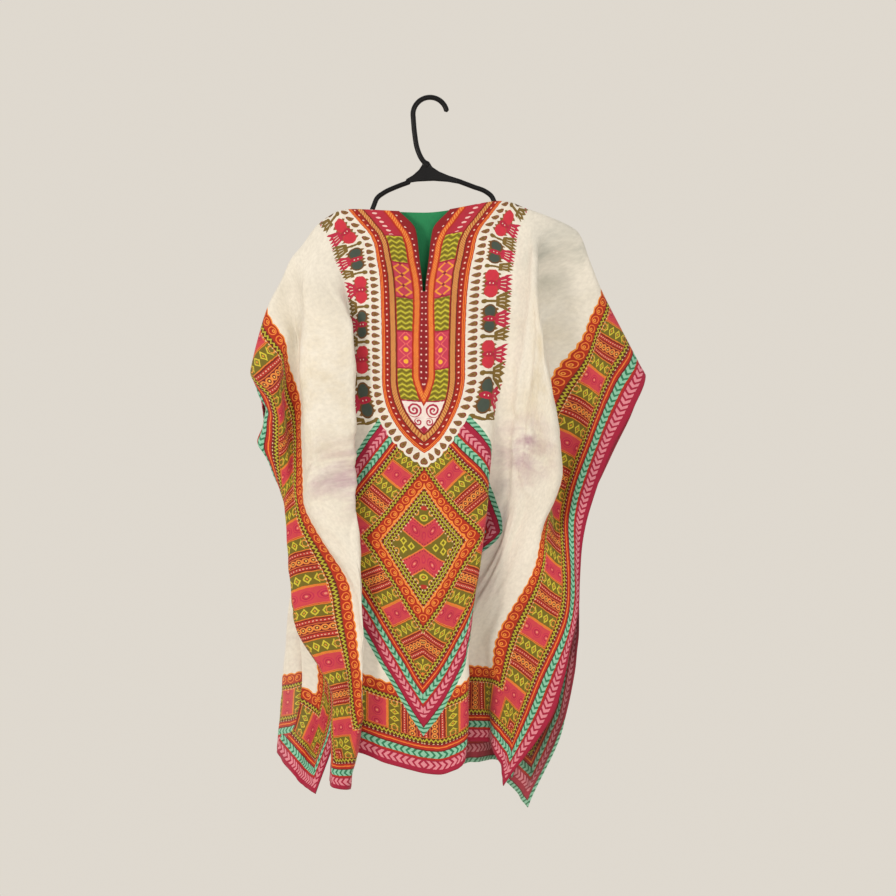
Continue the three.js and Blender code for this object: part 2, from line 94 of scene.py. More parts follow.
ARM_RADIUS = 3.7
ARM_DROP = 5.6  # arm's middle below the shoulder seam
ARM_START = 138.0  # flat place where each arm has gone under the cloth
ARM_STEP = 17.4
LEFT_ARM_END = 208.0
RIGHT_ARM_END = 225.0
HOOK_RADIUS = 24.8
HOOK_WIRE = 3.9  # radius of the hook's round bar
HOOK_CENTRE = -1.7
HOOK_TURN = (12, 189, 8)  # degrees: from the hook's tip round to its stem, and the step

# Points in the front view, x then z: the stem under the hook, each arm out to the cloth, the web.
STEM = [(-24, -50), (-20, -72), (-15, -84), (-5, -97)]
LEFT_ARM = [(-32, -120), (-52, -127.5), (-68, -135), (-79, -143.5), (-84, -155), (-89, -166), (-103, -173)]
RIGHT_ARM = [(38, -118), (62, -127), (79, -133.5), (88.5, -141), (93, -150), (99, -158), (112, -162)]
WEB = [
    (-12, -86), (-13, -94), (-18, -102), (-27, -110), (-37, -116), (-37.5, -122), (-20, -119.5),
    (4, -118.5), (25, -120), (45, -123.5), (46, -117), (26, -110.5), (12, -104.5), (2, -98), (-3, -90),
]
WEB_STEPS = ((0.0, 0.5), (0.8, 1.8), (2.0, 2.5))  # how far in from the edge, and half the thickness

# How far down the slit, and half its width there.
SLIT_SHAPE = [(NECK_DIP, 34), (33, 12), (74, 7), (SLIT_LENGTH, 2), (LENGTH, 2)]

# Where the shoulder seam and the neck edge lie: flat place across, then x and z.
SHOULDER = [
    (-470, -250, -393),
    (-450, -258, -398),
    (-425, -264, -396),
    (-390, -254, -353),
    (-350, -239, -303),
    (-290, -218, -262),
    (-245, -205, -233),
    (-200, -188, -212),
    (-165, -164, -181),
    (-108, -122, -160),
    (0, -10, -164),
    (108, 104, -148),
    (165, 142, -160),
    (200, 170, -170),
    (245, 215, -194),
    (300, 231, -233),
    (350, 248, -276),
    (410, 280, -339),
    (470, 313, -402),
]

# How low each panel's hem hangs: flat place across, then z.
FRONT_HEM = [
    (-470, -987),
    (-410, -996),
    (-350, -999),
    (-250, -976),
    (-160, -950),
    (-100, -947),
    (-50, -963),
    (20, -976),
    (49, -966),
    (88, -950),
    (165, -944),
    (350, -935),
    (410, -961),
    (470, -993),
]
BACK_HEM = [
    (-470, -1009),
    (-400, -996),
    (-350, -979),
    (-300, -957),
    (-200, -944),
    (-50, -969),
    (60, -990),
    (120, -970),
    (250, -976),
    (350, -987),
    (400, -1002),
    (470, -1027),
]

# Share of the way down: shoulder, armhole, chest, waist, hip, thigh, hem.
STATIONS = (0, 0.08, 0.2, 0.4, 0.6, 0.8, 1)

# Each fold line: its flat place across, its x and its depth y at each station.
FRONT_FOLDS = {
    "left edge": (
        [-470] * 7,
        [-250, -237, -231, -190, -164, -136, -146],
        [14, 8, -2, -4, -22, -40, -50],
    ),
    "left hem turn": (
        [-450, -450, -446, -440, -455, -460, -460],
        [-258, -250, -239, -193, -170, -134, -144],
        [7, -14, -20, -12, -30, -54, -62],
    ),
    "left strip fold": (
        [-425, -422, -410, -400, -432, -440, -446],
        [-264, -228, -214, -206, -196, -141, -141],
        [0, -34, -32, -26, -52, -76, -76],
    ),
    "left ring band": (
        [-350, -350, -382, -364, -350, -362, -420],
        [-239, -211, -206, -190, -113, -106, -128],
        [0, -14, -18, -34, -62, -80, -84],
    ),
    "left sleeve valley": (
        [-290, -300, -345, -338, -330, -350, -411],
        [-218, -199, -189, -184, -106, -96, -120],
        [0, 4, -20, -54, -74, -80, -80],
    ),
    "left ridge": (
        [-200, -222, -245, -262, -300, -345, -403],
        [-188, -185, -178, -155, -101, -94, -116],
        [0, -38, -64, -80, -84, -74, -70],
    ),
    "left pleat edge": (
        [-160, -165, -160, -207, -271, -336, -393],
        [-158, -166, -109, -106, -99, -96, -117],
        [0, -36, -66, -76, -78, -66, -58],
    ),
    "left pleat back": (
        [-130, -130, -130, -165, -195, -215, -225],
        [-140, -134, -118, -140, -135, -114, -120],
        [0, -26, -34, -26, -8, 2, 0],
    ),
    "left panel": (
        [-100, -100, -104, -105, -100, -100, -100],
        [-115, -105, -106, -110, -112, -109, -108],
        [0, -22, -42, -48, -50, -48, -46],
    ),
    "centre left": ([-50] * 7, [-61] * 7, [0, -14, -50, -64, -66, -58, -54]),
    "centre": ([0] * 7, [-10] * 7, [0, -10, -52, -70, -76, -72, -68]),
    "centre right": (
        [50, 50, 50, 50, 50, 42, 38],
        [39, 39, 39, 39, 39, 32, 28],
        [0, -14, -54, -74, -82, -82, -80],
    ),
    "right panel edge": (
        [88, 88, 88, 90, 88, 66, 50],
        [81, 80, 80, 80, 75, 52, 39],
        [0, -20, -52, -70, -78, -84, -84],
    ),
    "right pleat back": (
        [115, 112, 112, 116, 126, 150, 150],
        [107, 100, 100, 91, 59, 35, 25],
        [0, -24, -52, -58, -40, -22, -20],
    ),
    "right pleat out": (
        [150, 150, 150, 160, 180, 290, 300],
        [132, 133, 134, 118, 99, 48, 45],
        [0, -34, -64, -66, -40, -18, -16],
    ),
    "right ridge": (
        [190, 200, 225, 240, 250, 320, 325],
        [165, 151, 154, 146, 112, 68, 71],
        [0, -46, -82, -84, -52, -24, -20],
    ),
    "right body fold": (
        [215, 245, 300, 352, 308, 335, 345],
        [187, 146, 164, 183, 129, 80, 86],
        [0, -44, -76, -82, -56, -30, -24],
    ),
    "right valley": (
        [245, 275, 345, 388, 348, 350, 365],
        [213, 160, 171, 178, 149, 91, 88],
        [0, -22, -46, -52, -64, -36, -34],
    ),
    "right ring band": (
        [350, 350, 385, 416, 392, 385, 400],
        [248, 228, 212, 188, 170, 123, 97],
        [0, -20, -36, -30, -70, -56, -46],
    ),
    "right strip": (
        [440, 440, 440, 440, 438, 440, 440],
        [297, 270, 238, 202, 199, 157, 101],
        [0, -22, -38, -42, -68, -70, -60],
    ),
    "right edge": ([470] * 7, [313, 295, 258, 220, 206, 181, 104], [0, -22, -36, -42, -62, -72, -66]),
}

BACK_FOLDS = {
    "left edge": (
        [-470] * 7,
        [-250, -246, -230, -190, -164, -134, -168],
        [16, 12, 12, 0, -18, -33, -36],
    ),
    "left outer ridge": (
        [-410] * 7,
        [-261, -247, -217, -192, -168, -148, -188],
        [2, 20, 32, 14, -4, -16, -18],
    ),
    "left outer valley": (
        [-350] * 7,
        [-242, -233, -212, -199, -184, -166, -205],
        [0, 14, 12, 4, -4, -8, -8],
    ),
    "left side ridge": (
        [-300] * 7,
        [-224, -215, -198, -184, -203, -216, -228],
        [0, 22, 38, 44, 44, 42, 40],
    ),
    "left side valley": (
        [-245] * 7,
        [-207, -194, -172, -160, -172, -188, -203],
        [0, 14, 14, 14, 16, 16, 14],
    ),
    "left back ridge": (
        [-190] * 7,
        [-182, -168, -147, -131, -140, -156, -170],
        [0, 24, 40, 48, 50, 50, 50],
    ),
    "left back valley": (
        [-130] * 7,
        [-137, -124, -112, -102, -107, -121, -132],
        [0, 13, 13, 13, 13, 14, 14],
    ),
    "centre left ridge": ([-68] * 7, [-77, -71, -67, -62, -63, -71, -78], [0, 12, 24, 40, 46, 50, 52]),
    "centre": ([0] * 7, [-10, -10, -16, -19, -19, -22, -25], [0, 13, 17, 19, 21, 23, 24]),
    "centre right ridge": ([65] * 7, [59, 50, 40, 32, 31, 28, 23], [0, 12, 26, 44, 48, 50, 50]),
    "right back valley": ([125] * 7, [114, 105, 90, 78, 74, 71, 65], [0, 13, 13, 13, 14, 14, 14]),
    "right back ridge": ([180] * 7, [152, 151, 133, 120, 112, 103, 96], [0, 24, 40, 48, 50, 50, 48]),
    "right side valley": ([235] * 7, [204, 196, 175, 156, 146, 136, 118], [0, 14, 14, 11, 9, 6, 4]),
    "right side ridge": ([285] * 7, [228, 217, 199, 176, 165, 156, 119], [0, 24, 38, 44, 44, 42, 38]),
    "right outer valley": ([335] * 7, [242, 236, 218, 194, 184, 178, 115], [0, 13, 11, 7, 3, -2, -4]),
    "right outer ridge": ([385] * 7, [266, 256, 236, 206, 190, 166, 112], [0, 20, 32, 30, 6, -10, 6]),
    "right turn": ([430] * 7, [290, 277, 250, 212, 201, 182, 125], [0, 12, 12, -4, -34, -38, -18]),
    "right edge": ([470] * 7, [313, 296, 260, 214, 212, 194, 138], [0, 2, -2, -26, -52, -50, -42]),
}

# ---- smooth curves through the tables -------------------------------------------------------------


def steady_slopes(at, value):
    """Slopes of a curve through the knots that never overshoots them."""
    step = np.diff(at)
    rise = np.diff(value) / step
    slopes = np.zeros(len(at))
    slopes[0], slopes[-1] = rise[0], rise[-1]
    for i in range(1, len(at) - 1):
        if rise[i - 1] * rise[i] > 0:
            w1 = 2 * step[i] + step[i - 1]
            w2 = step[i] + 2 * step[i - 1]
            slopes[i] = (w1 + w2) / (w1 / rise[i - 1] + w2 / rise[i])
    return slopes


def round_slopes(at, value):
    """Slopes of a curve that rounds each knot, like cloth over a fold."""
    step = np.diff(at)
    rise = np.diff(value) / step
    slopes = np.zeros(len(at))
    slopes[0], slopes[-1] = rise[0], rise[-1]
    slopes[1:-1] = (rise[:-1] * step[1:] + rise[1:] * step[:-1]) / (step[1:] + step[:-1])
    return slopes


def curve(at, value, slopes, places):
    """The cubic through the knots, at each of the places."""
    at, value, places = (np.asarray(v, float) for v in (at, value, places))
    i = np.clip(np.searchsorted(at, places, side="right") - 1, 0, len(at) - 2)
    h = at[i + 1] - at[i]
    u = (places - at[i]) / h
    u2, u3 = u * u, u * u * u
    return (
        (2 * u3 - 3 * u2 + 1) * value[i]
        + (u3 - 2 * u2 + u) * h * slopes[i]
        + (3 * u2 - 2 * u3) * value[i + 1]
        + (u3 - u2) * h * slopes[i + 1]
    )


def steady(at, value, places):
    """The curve through the knots that never overshoots them."""
    at, value = np.asarray(at, float), np.asarray(value, float)
    return curve(at, value, steady_slopes(at, value), places)


def looked_up(table, column, across):
    """A column of a table whose rows start with a place across the cloth, at other places."""
    return steady([row[0] for row in table], [row[column] for row in table], across)


def cut_top(across):
    """How far below the neck the panel's upper edge is cut, on the flat cloth."""
    out = np.abs(across)
    along = np.clip((out - NECK_HALF) / (HALF_WIDTH - NECK_HALF), 0, 1)
    return SHOULDER_DROP * along**SHOULDER_CURVE + NECK_DIP * np.clip(1 - (out / NECK_HALF) ** 2, 0, 1)


def slit_half(down):
    """Half the width of the slit on the flat cloth: a funnel at the neck, closed at its foot."""
    return looked_up(SLIT_SHAPE, 1, max(down, NECK_DIP))


# ---- the hung cloth -------------------------------------------------------------------------------


def hung_row(folds, hem, side, down, index):
    """Points of one row of the cloth: flat place across and down, then x, y, z."""
    seam_x = looked_up(SHOULDER, 1, [fold[0][0] for fold in folds.values()])
    knots = []
    for first_x, (across, x, y) in zip(seam_x, folds.values()):
        knots.append([float(steady(STATIONS, column, down)) for column in (across, [first_x, *x[1:]], y)])
    knot_across, knot_x, knot_y = np.array(knots).T
    at = np.concatenate([[0], np.cumsum(np.maximum(np.diff(knot_across), 1))])
    places = np.interp(index, np.arange(len(at)), at)
    across = np.interp(places, at, knot_across)
    x = curve(at, knot_x, round_slopes(at, knot_x), places)
    y = curve(at, knot_y, round_slopes(at, knot_y), places)
    top = cut_top(across)
    flat_down = top + down * (LENGTH - top)

    shoulder_x = looked_up(SHOULDER, 1, across)
    shoulder_z = looked_up(SHOULDER, 2, across)
    hem_z = looked_up(hem, 1, across)
    x = x + max(1 - down / STATIONS[1], 0) ** 2 * (shoulder_x - x)
    neck = np.clip((NECK_HALF - np.abs(across)) / NECK_CORNER, 0, 1)
    round_arm = OVER_ARM * (1 - np.exp((top - flat_down) / ARM_ROUNDING)) * (1 - neck)
    stand_off = SEAM_GAP / 2 + round_arm + NECK_OPEN * neck
    y = y + side * stand_off * max(1 - down / STATIONS[2], 0) ** 2
    z = shoulder_z * (1 - down) + hem_z * down
    return np.stack([across, flat_down, x, y, z], axis=-1)


def hung_grid(folds, hem, side, rows, per_fold, slit):
    """All rows of a panel. With a slit, the centre column is doubled and its neighbours close up."""
    count = len(folds) - 1
    centre = list(folds).index("centre")
    index = np.linspace(0, count, count * per_fold + 1)
    if slit:
        middle = centre * per_fold
        index = np.insert(index, middle, centre)
    grid = []
    for down in rows:
        here = index.copy()
        if slit:
            half = float(slit_half(NECK_DIP + down * (LENGTH - NECK_DIP))) / CENTRE_SPAN
            away = np.abs(here - centre)
            beside = away < 1
            side_of = np.where(np.arange(len(here)) <= middle, -1.0, 1.0)
            here[beside] = centre + (side_of * (half + away * (1 - half)))[beside]
        grid.append(hung_row(folds, hem, side, down, here))
    return np.array(grid).transpose(1, 0, 2)


SLIT_FOOT = (SLIT_LENGTH - NECK_DIP) / (LENGTH - NECK_DIP)  # as a share of the way down

# Rows where the cloth rounds the arm, as shares of the way down, and where even rows begin.
TOP_ROWS = (0, 0.0012, 0.0025, 0.0038, 0.005, 0.007, 0.009, 0.012)
FIRST_EVEN_ROW = 0.016


def cloth_rows(count):
    """Rows close together at the top, and one of them at the slit's foot."""
    rows = np.concatenate([TOP_ROWS, np.linspace(FIRST_EVEN_ROW, 1, count)])
    rows[np.argmin(np.abs(rows - SLIT_FOOT))] = SLIT_FOOT
    return rows


def sheet_mesh(name, grid, is_open=None):
    """A single sheet from a grid of points, with a UV map that holds its flat places in metres."""
    columns, rows = grid.shape[:2]
    points = grid.reshape(-1, 5)
    faces = []
    for i in range(columns - 1):
        for j in range(rows - 1):
            if is_open and is_open(i, j):
                continue
            a = i * rows + j
            faces.append((a, a + 1, a + rows + 1, a + rows))
    mesh = bpy.data.meshes.new(name)
    mesh.from_pydata((points[:, 2:5] * MM).tolist(), [], faces)
    flat = mesh.uv_layers.new(name="flat_cloth")
    corner = np.empty(len(mesh.loops), dtype=np.int32)
    mesh.loops.foreach_get("vertex_index", corner)
    flat.data.foreach_set("uv", (points[corner, :2] * MM).astype(np.float32).ravel())
    mesh.polygons.foreach_set("use_smooth", [True] * len(mesh.polygons))
    piece = bpy.data.objects.new(name, mesh)
    bpy.context.scene.collection.objects.link(piece)
    return piece


def vertex_normals(grid):
    """The cloth's unit normal at every point of a grid."""
    points = grid[:, :, 2:5]
    along = np.gradient(points, axis=0)
    down = np.gradient(points, axis=1)
    normal = np.cross(along, down)
    return normal / np.maximum(np.linalg.norm(normal, axis=2, keepdims=True), 1e-9)


# ---- creases and small waves ----------------------------------------------------------------------

# Soft ridges (height above 0) and troughs: from one flat place to another, all in millimetres.
FRONT_CREASES = [
    # press folds and pulls across the left column
    {"start": (-175, 318), "end": (-345, 372), "width": 4, "height": 4.2},
    {"start": (-165, 336), "end": (-330, 404), "width": 4, "height": -3.6},
    {"start": (-180, 362), "end": (-300, 386), "width": 4, "height": 2.6},
    {"start": (-190, 400), "end": (-260, 384), "width": 4, "height": -2.2},
    {"start": (-215, 408), "end": (-300, 480), "width": 5, "height": 2.8},
    {"start": (-240, 470), "end": (-285, 590), "width": 6, "height": 2.6},
    {"start": (-225, 520), "end": (-300, 640), "width": 6, "height": -2.6},
    # soft folds that fall from the shoulders
    {"start": (-135, 30), "end": (-190, 330), "width": 13, "height": 3.6},
    {"start": (-200, 60), "end": (-235, 300), "width": 10, "height": -3.2},
    {"start": (-235, 70), "end": (-275, 230), "width": 9, "height": 3.0},
    {"start": (-180, 150), "end": (-200, 420), "width": 9, "height": 2.0},
    {"start": (140, 40), "end": (170, 420), "width": 12, "height": 5.0},
    {"start": (168, 120), "end": (200, 470), "width": 9, "height": -5.0},
    {"start": (190, 140), "end": (232, 470), "width": 10, "height": 4.6},
    {"start": (215, 180), "end": (262, 440), "width": 8, "height": -3.4},
    {"start": (290, 110), "end": (330, 240), "width": 9, "height": 3.0},
    {"start": (245, 60), "end": (290, 150), "width": 6, "height": -2.2},
    {"start": (262, 50), "end": (315, 120), "width": 5, "height": 2.2},
    # press folds and pulls across the right side
    {"start": (130, 298), "end": (215, 352), "width": 4, "height": 4.4},
    {"start": (150, 338), "end": (240, 424), "width": 4, "height": -4.2},
    {"start": (215, 296), "end": (285, 404), "width": 4, "height": 4.4},
    {"start": (235, 392), "end": (310, 362), "width": 4, "height": 2.8},
    {"start": (225, 420), "end": (300, 440), "width": 4, "height": -2.4},
    {"start": (140, 400), "end": (185, 640), "width": 9, "height": 4.4},
    {"start": (165, 420), "end": (215, 680), "width": 8, "height": -4.6},
    {"start": (195, 430), "end": (250, 690), "width": 9, "height": 4.4},
    {"start": (245, 470), "end": (290, 660), "width": 8, "height": -3.2},
    # the printed middle
    {"start": (-95, 430), "end": (10, 470), "width": 7, "height": 1.8},
    {"start": (-80, 560), "end": (85, 530), "width": 9, "height": 2.2},
    {"start": (-95, 650), "end": (30, 700), "width": 9, "height": -2.2},
    {"start": (40, 330), "end": (60, 800), "width": 14, "height": -4.0},
    {"start": (-60, 420), "end": (-45, 810), "width": 13, "height": 3.6},
    # pulls on the borders
    {"start": (330, 330), "end": (430, 360), "width": 6, "height": 2.2},
    {"start": (340, 520), "end": (440, 500), "width": 6, "height": 2.2},
    {"start": (330, 640), "end": (450, 610), "width": 7, "height": -2.2},
    {"start": (370, 420), "end": (380, 760), "width": 12, "height": 3.0},
    {"start": (-350, 560), "end": (-440, 530), "width": 6, "height": 2.2},
    {"start": (-340, 660), "end": (-440, 640), "width": 6, "height": -2.4},
    {"start": (-385, 480), "end": (-378, 720), "width": 9, "height": -3.6},
    {"start": (-350, 110), "end": (-425, 190), "width": 6, "height": 2.2},
]
# Local pulls: flat place, reach across and down, and the way the cloth moves (x, y, z).
FRONT_TUGS = [
    {"at": (-462, 272), "reach": (26, 18), "move": (-13, -8, -3)},
    {"at": (-450, 216), "reach": (24, 12), "move": (5, 2, 0)},
]
BACK_CREASES = [
    {"start": (-200, 330), "end": (-60, 380), "width": 6, "height": 3.0},
    {"start": (-180, 362), "end": (-40, 350), "width": 6, "height": -2.4},
    {"start": (40, 350), "end": (220, 390), "width": 6, "height": -3.0},
    {"start": (60, 378), "end": (190, 340), "width": 5, "height": 2.4},
    {"start": (-120, 60), "end": (-180, 320), "width": 14, "height": 3.0},
    {"start": (110, 60), "end": (190, 340), "width": 15, "height": -3.0},
    {"start": (0, 60), "end": (-20, 300), "width": 12, "height": 2.4},
    {"start": (-250, 420), "end": (-300, 560), "width": 8, "height": 2.6},
    {"start": (230, 430), "end": (290, 600), "width": 8, "height": 2.6},
    {"start": (-40, 420), "end": (-70, 760), "width": 16, "height": 2.4},
    {"start": (90, 460), "end": (60, 800), "width": 18, "height": -2.2},
]


# Small waves: length and height, each length drawn in several directions.
WAVES = ((190, 1.6), (120, 1.7), (75, 1.3), (46, 0.8), (29, 0.42), (18, 0.2))
WAVES_EACH = 3
CREASE_BEND = 0.06  # how far a crease bows, as a share of its length
SMOOTH_TOP = 12.0  # the cloth is smooth this far below its upper edge
CRUMPLE_FADE = 60.0  # and fully crumpled this much further down
FRONT_SEED = 3
BACK_SEED = 8


def crease_height(across, down, creases):
    """The sum of the creases: each is a soft ridge that fades at both its ends."""
    height = np.zeros_like(across)
    for crease in creases:
        x0, y0 = crease["start"]
        x1, y1 = crease["end"]
        length = math.hypot(x1 - x0, y1 - y0)
        ux, uy = (x1 - x0) / length, (y1 - y0) / length
        along = (across - x0) * ux + (down - y0) * uy
        bend = CREASE_BEND * length * np.sin(math.pi * np.clip(along / length, 0, 1))
        beside = (across - x0) * -uy + (down - y0) * ux - bend
        fade = np.clip(along / length, 0, 1) * np.clip(1 - along / length, 0, 1) * 4
        height += crease["height"] * fade * np.exp(-((beside / crease["width"]) ** 2))
    return height


def small_waves(across, down, seed):
    """Unevenness of limp cotton: a few long waves that cross each other, from fixed phases."""
    rng = np.random.default_rng(seed)
    height = np.zeros_like(across)
    for length, size in WAVES:
        for _ in range(WAVES_EACH):
            turn = rng.uniform(-0.9, 0.9)
            phase = rng.uniform(0, 2 * math.pi)
            run = across * math.cos(turn) + down * math.sin(turn) * 0.7
            height += size / 1.7 * np.sin(2 * math.pi * run / length + phase)
    return height


def tug(grid, tugs):
    """Pulls the cloth a little where a fold sticks out."""
    for pull in tugs:
        off = [(grid[:, :, k] - pull["at"][k]) / pull["reach"][k] for k in (0, 1)]
        grid[:, :, 2:5] += np.exp(-(off[0] ** 2) - off[1] ** 2)[:, :, None] * np.array(pull["move"])
    return grid


def crumple(grid, creases, seed):
    """Moves the cloth along its normal by its creases and waves, less near its upper edge."""
    across, down = grid[:, :, 0], grid[:, :, 1]
    fade = np.clip((down - cut_top(across) - SMOOTH_TOP) / CRUMPLE_FADE, 0, 1)
    height = (crease_height(across, down, creases) + small_waves(across, down, seed)) * fade
    grid[:, :, 2:5] += vertex_normals(grid) * height[:, :, None]
    return grid


# ---- nodes ----------------------------------------------------------------------------------------


def linear(colour):
    """An sRGB hex value as linear red, green, blue and alpha."""
    parts = [int(colour[i : i + 2], 16) / 255 for i in (1, 3, 5)]
    return [p / 12.92 if p <= 0.04045 else ((p + 0.055) / 1.055) ** 2.4 for p in parts] + [1.0]


def add(tree, kind, *inputs, **settings):
    """Adds a node with its settings and links, and returns its first output.

    kind is a shader node's name, with its operation after a space where it has one. An input is a
    socket, a number, a vector or an sRGB hex colour, and None leaves the socket as it is.
    """
    name, _, operation = kind.partition(" ")
    node = tree.nodes.new("ShaderNode" + name)
    if operation:
        settings["operation"] = operation
    for key, value in settings.items():
        setattr(node, key, value)
    for socket, value in zip([s for s in node.inputs if s.enabled], inputs):
        if value is None:
            continue
        if isinstance(value, bpy.types.NodeSocket):
            tree.links.new(value, socket)
        else:
            socket.default_value = linear(value) if isinstance(value, str) else value
    return next(s for s in node.outputs if s.enabled)


def ramp(tree, value, low, high, stops):
    """Flat bands of colour across a width: stops are (start, colour), in the width's own units."""
    share = add(tree, "MapRange", value, low, high, 0.0, 1.0)
    out = add(tree, "ValToRGB", share)
    band = out.node.color_ramp
    band.interpolation = "CONSTANT"
    for i, (start, colour) in enumerate(stops):
        place = (start - low) / (high - low)
        element = band.elements[i] if i < 2 else band.elements.new(place)
        element.position = place
        element.color = linear(colour)
    return out


def where(tree, *bands):
    """The place where every band holds: each is a mask, or a value with its low and high."""
    out = None
    for band in bands:
        if isinstance(band, tuple):
            value, low, high = band
            band = add(tree, "Math COMPARE", value, (low + high) / 2, (high - low) / 2)
        out = band if out is None else add(tree, "Math MULTIPLY", out, band)
    return out


def printed(tree, under, colour, *bands):
    """Prints a colour over another where every band holds."""
    return add(tree, "Mix", where(tree, *bands), under, colour, data_type="RGBA")


def spread(tree, x, y, size=(1.0, 1.0), at=(0.0, 0.0)):
    """Distance from a motif's middle, which lies at a place, with each way scaled by its size."""
    x, y = (add(tree, "Math SUBTRACT", value, middle) if middle else value
            for value, middle in zip((x, y), at))
    sx = add(tree, "Math DIVIDE", x, size[0])
    sy = add(tree, "Math DIVIDE", y, size[1])
    squares = add(tree, "Math MULTIPLY_ADD", sx, sx, add(tree, "Math MULTIPLY", sy, sy))
    return add(tree, "Math SQRT", squares)


def rhomb(tree, x, y, half_wide, half_high):
    """How far a place lies from a lozenge's middle: 1 on its outline."""
    share_x = add(tree, "Math DIVIDE", add(tree, "Math ABSOLUTE", x), half_wide)
    share_y = add(tree, "Math DIVIDE", add(tree, "Math ABSOLUTE", y), half_high)
    return add(tree, "Math ADD", share_x, share_y)


def repeat(tree, value, pitch, start=0.0):
    """The place within a repeat, measured from the repeat's middle."""
    moved = add(tree, "Math SUBTRACT", value, start)
    part = add(tree, "Math FLOORED_MODULO", moved, pitch)
    return add(tree, "Math SUBTRACT", part, pitch / 2)


# ---- the print, in millimetres on the flat cloth --------------------------------------------------

CREAM = "#EAE6DC"
OFF_WHITE = "#E6DDCB"
STRAW = "#E6C79C"
RED = "#B32C1E"
BRIGHT_RED = "#AE3018"
BRICK = "#B5352A"
RUST = "#A8321F"
ORANGE = "#EE8236"
LINE_ORANGE = "#DE7F33"
RIM_ORANGE = "#E2823A"
GOLD = "#DF9A44"
AMBER = "#D99A36"
LEMON = "#CFC23C"
LIME = "#C9C23E"
OLIVE = "#736720"
ROSE = "#CB444E"
CRIMSON = "#A61E3F"
MAROON = "#6E1A22"
PINK = "#E08C9B"
MINT = "#8CCBB0"
GREEN = "#2F7D5B"
BROWN = "#7C6430"

# The border's plain bands: how far in from the cloth's edge each starts, and its colour.
BORDER_BANDS = [
    (-12, MINT), (-2, MAROON), (0, CRIMSON), (7, PINK), (18.5, CRIMSON), (20, RED), (22.5, MINT),
    (32.5, MAROON), (34, RED), (37.5, ORANGE), (39, RED), (42, MAROON), (44, RUST), (96, RUST),
    (103, BRIGHT_RED),
]
DARK_OF = {MINT: GREEN, PINK: CRIMSON}  # the arrows' dark half in each light band
BORDER_SPAN = (-12, 128)
PINK_ROW = (6, 19)
PINK_MIDDLE = 12.8
MINT_MIDDLE = 27.5
ARROW_PITCH = 8.7
ARROW_WIDTH = 3.6
ARROW_LEAN = 0.9
BLOCK_ROW = (51.5, 95.5)
BLOCK_MIDDLE = 73.5
ZIGZAG_MIDDLES = (48.0, 99.0)
LACE_MIDDLES = (126.2, 132.8)
RING_ROW = (103, 119)
RING_MIDDLE = 110.5
RING_PITCH = 14.5
SCALLOP_LINE = 118.0
SCALLOP_HEIGHT = 2.2
FIELD_START = 126.0

# One repeat of the block row: rose, olive, striped, olive.
BLOCK_REPEAT = 101.0
BLOCK_STARTS = [(0, RUST), (29, OLIVE), (48, "#7A2119"), (80, OLIVE)]
BLOCK_LINES = (0.6, 29.0, 48.0, 80.0, 100.4)
ROSE_MIDDLE = 14.5
ROSE_HALF = (12.2, 19.5)
OLIVE_MIDDLE = 38.5
STRIPED_MIDDLE = 64.0
DOT_PITCH = 3.6

DIAMOND_CENTRE = 497.0
DIAMOND_WIDE = 190.0
DIAMOND_HIGH = 271.0
DIAMOND_SCALE = 1.24  # the diamond's bands are narrower than the border's
DIAMOND_TOP = 300.0  # nothing of it shows above the plaque's point
HEART_SHIFT = 46.5

ARCH_START = 255.0  # the plaque's sides turn in to a point below this
ARCH_RADIUS = 124.2
PLAQUE_HALF = 59.5
PLAQUE_FLARE = 48.0  # how much wider each side is at the shoulder
FLARE_CURVE = ((0.0, 1.0), (0.1, 0.62), (0.21, 0.32), (0.29, 0.25), (0.45, 0.1), (0.7, 0.02))

# The plaque's bands: how far in from its outline each starts, and its colour.
PLAQUE_BANDS = [
    (0, RED), (1.2, ORANGE), (2.4, RED), (3.2, ORANGE), (4.5, RED), (5.4, "#9E2119"), (12, MAROON),
    (13.5, "#D9A05A"), (20.5, MAROON), (22, "#A3281C"), (23.5, CRIMSON), (47, RED),
]
GOLD_BRAID = (13.5, 20.5)
PANEL_ROW = (23.5, 47.0)
PANEL_MIDDLE = 35.0
PANEL_FOOT = 287.0
TIP_START = 288.0
TONGUE_HALF = 16.6
BRAID_TWIST = 3.4

DROP_PITCH = 10.6
FLOWER_PITCH = 53.0  # from one flower of the garland to the next
FIRST_FLOWER = 20.5
FLOWER_OUT = 33.5  # from the plaque's outline to the flowers' middles
TULIP_OUT = 43.0
TULIP_SIZE = 1.35


def zigzag(tree, colour, along, across, centre):
    """A yellow-green zigzag line on a dark band, with a row of pale dots beside it."""
    half_pitch, steepness, half_rise = 2.9, 1.35, 1.9
    half_band, half_line = 3.6, 1.35
    part = add(tree, "Math PINGPONG", along, half_pitch)
    line = add(tree, "Math MULTIPLY_ADD", part, steepness, centre - half_rise)
    off = add(tree, "Math SUBTRACT", across, line)
    colour = printed(tree, colour, "#5E2A14", (across, centre - half_band, centre + half_band))
    colour = printed(tree, colour, "#B9B437", (off, -half_line, half_line))
    dots = where(tree, (across, centre - 5.0, centre - 3.9), (part, 0.0, 1.2))
    return printed(tree, colour, STRAW, dots)


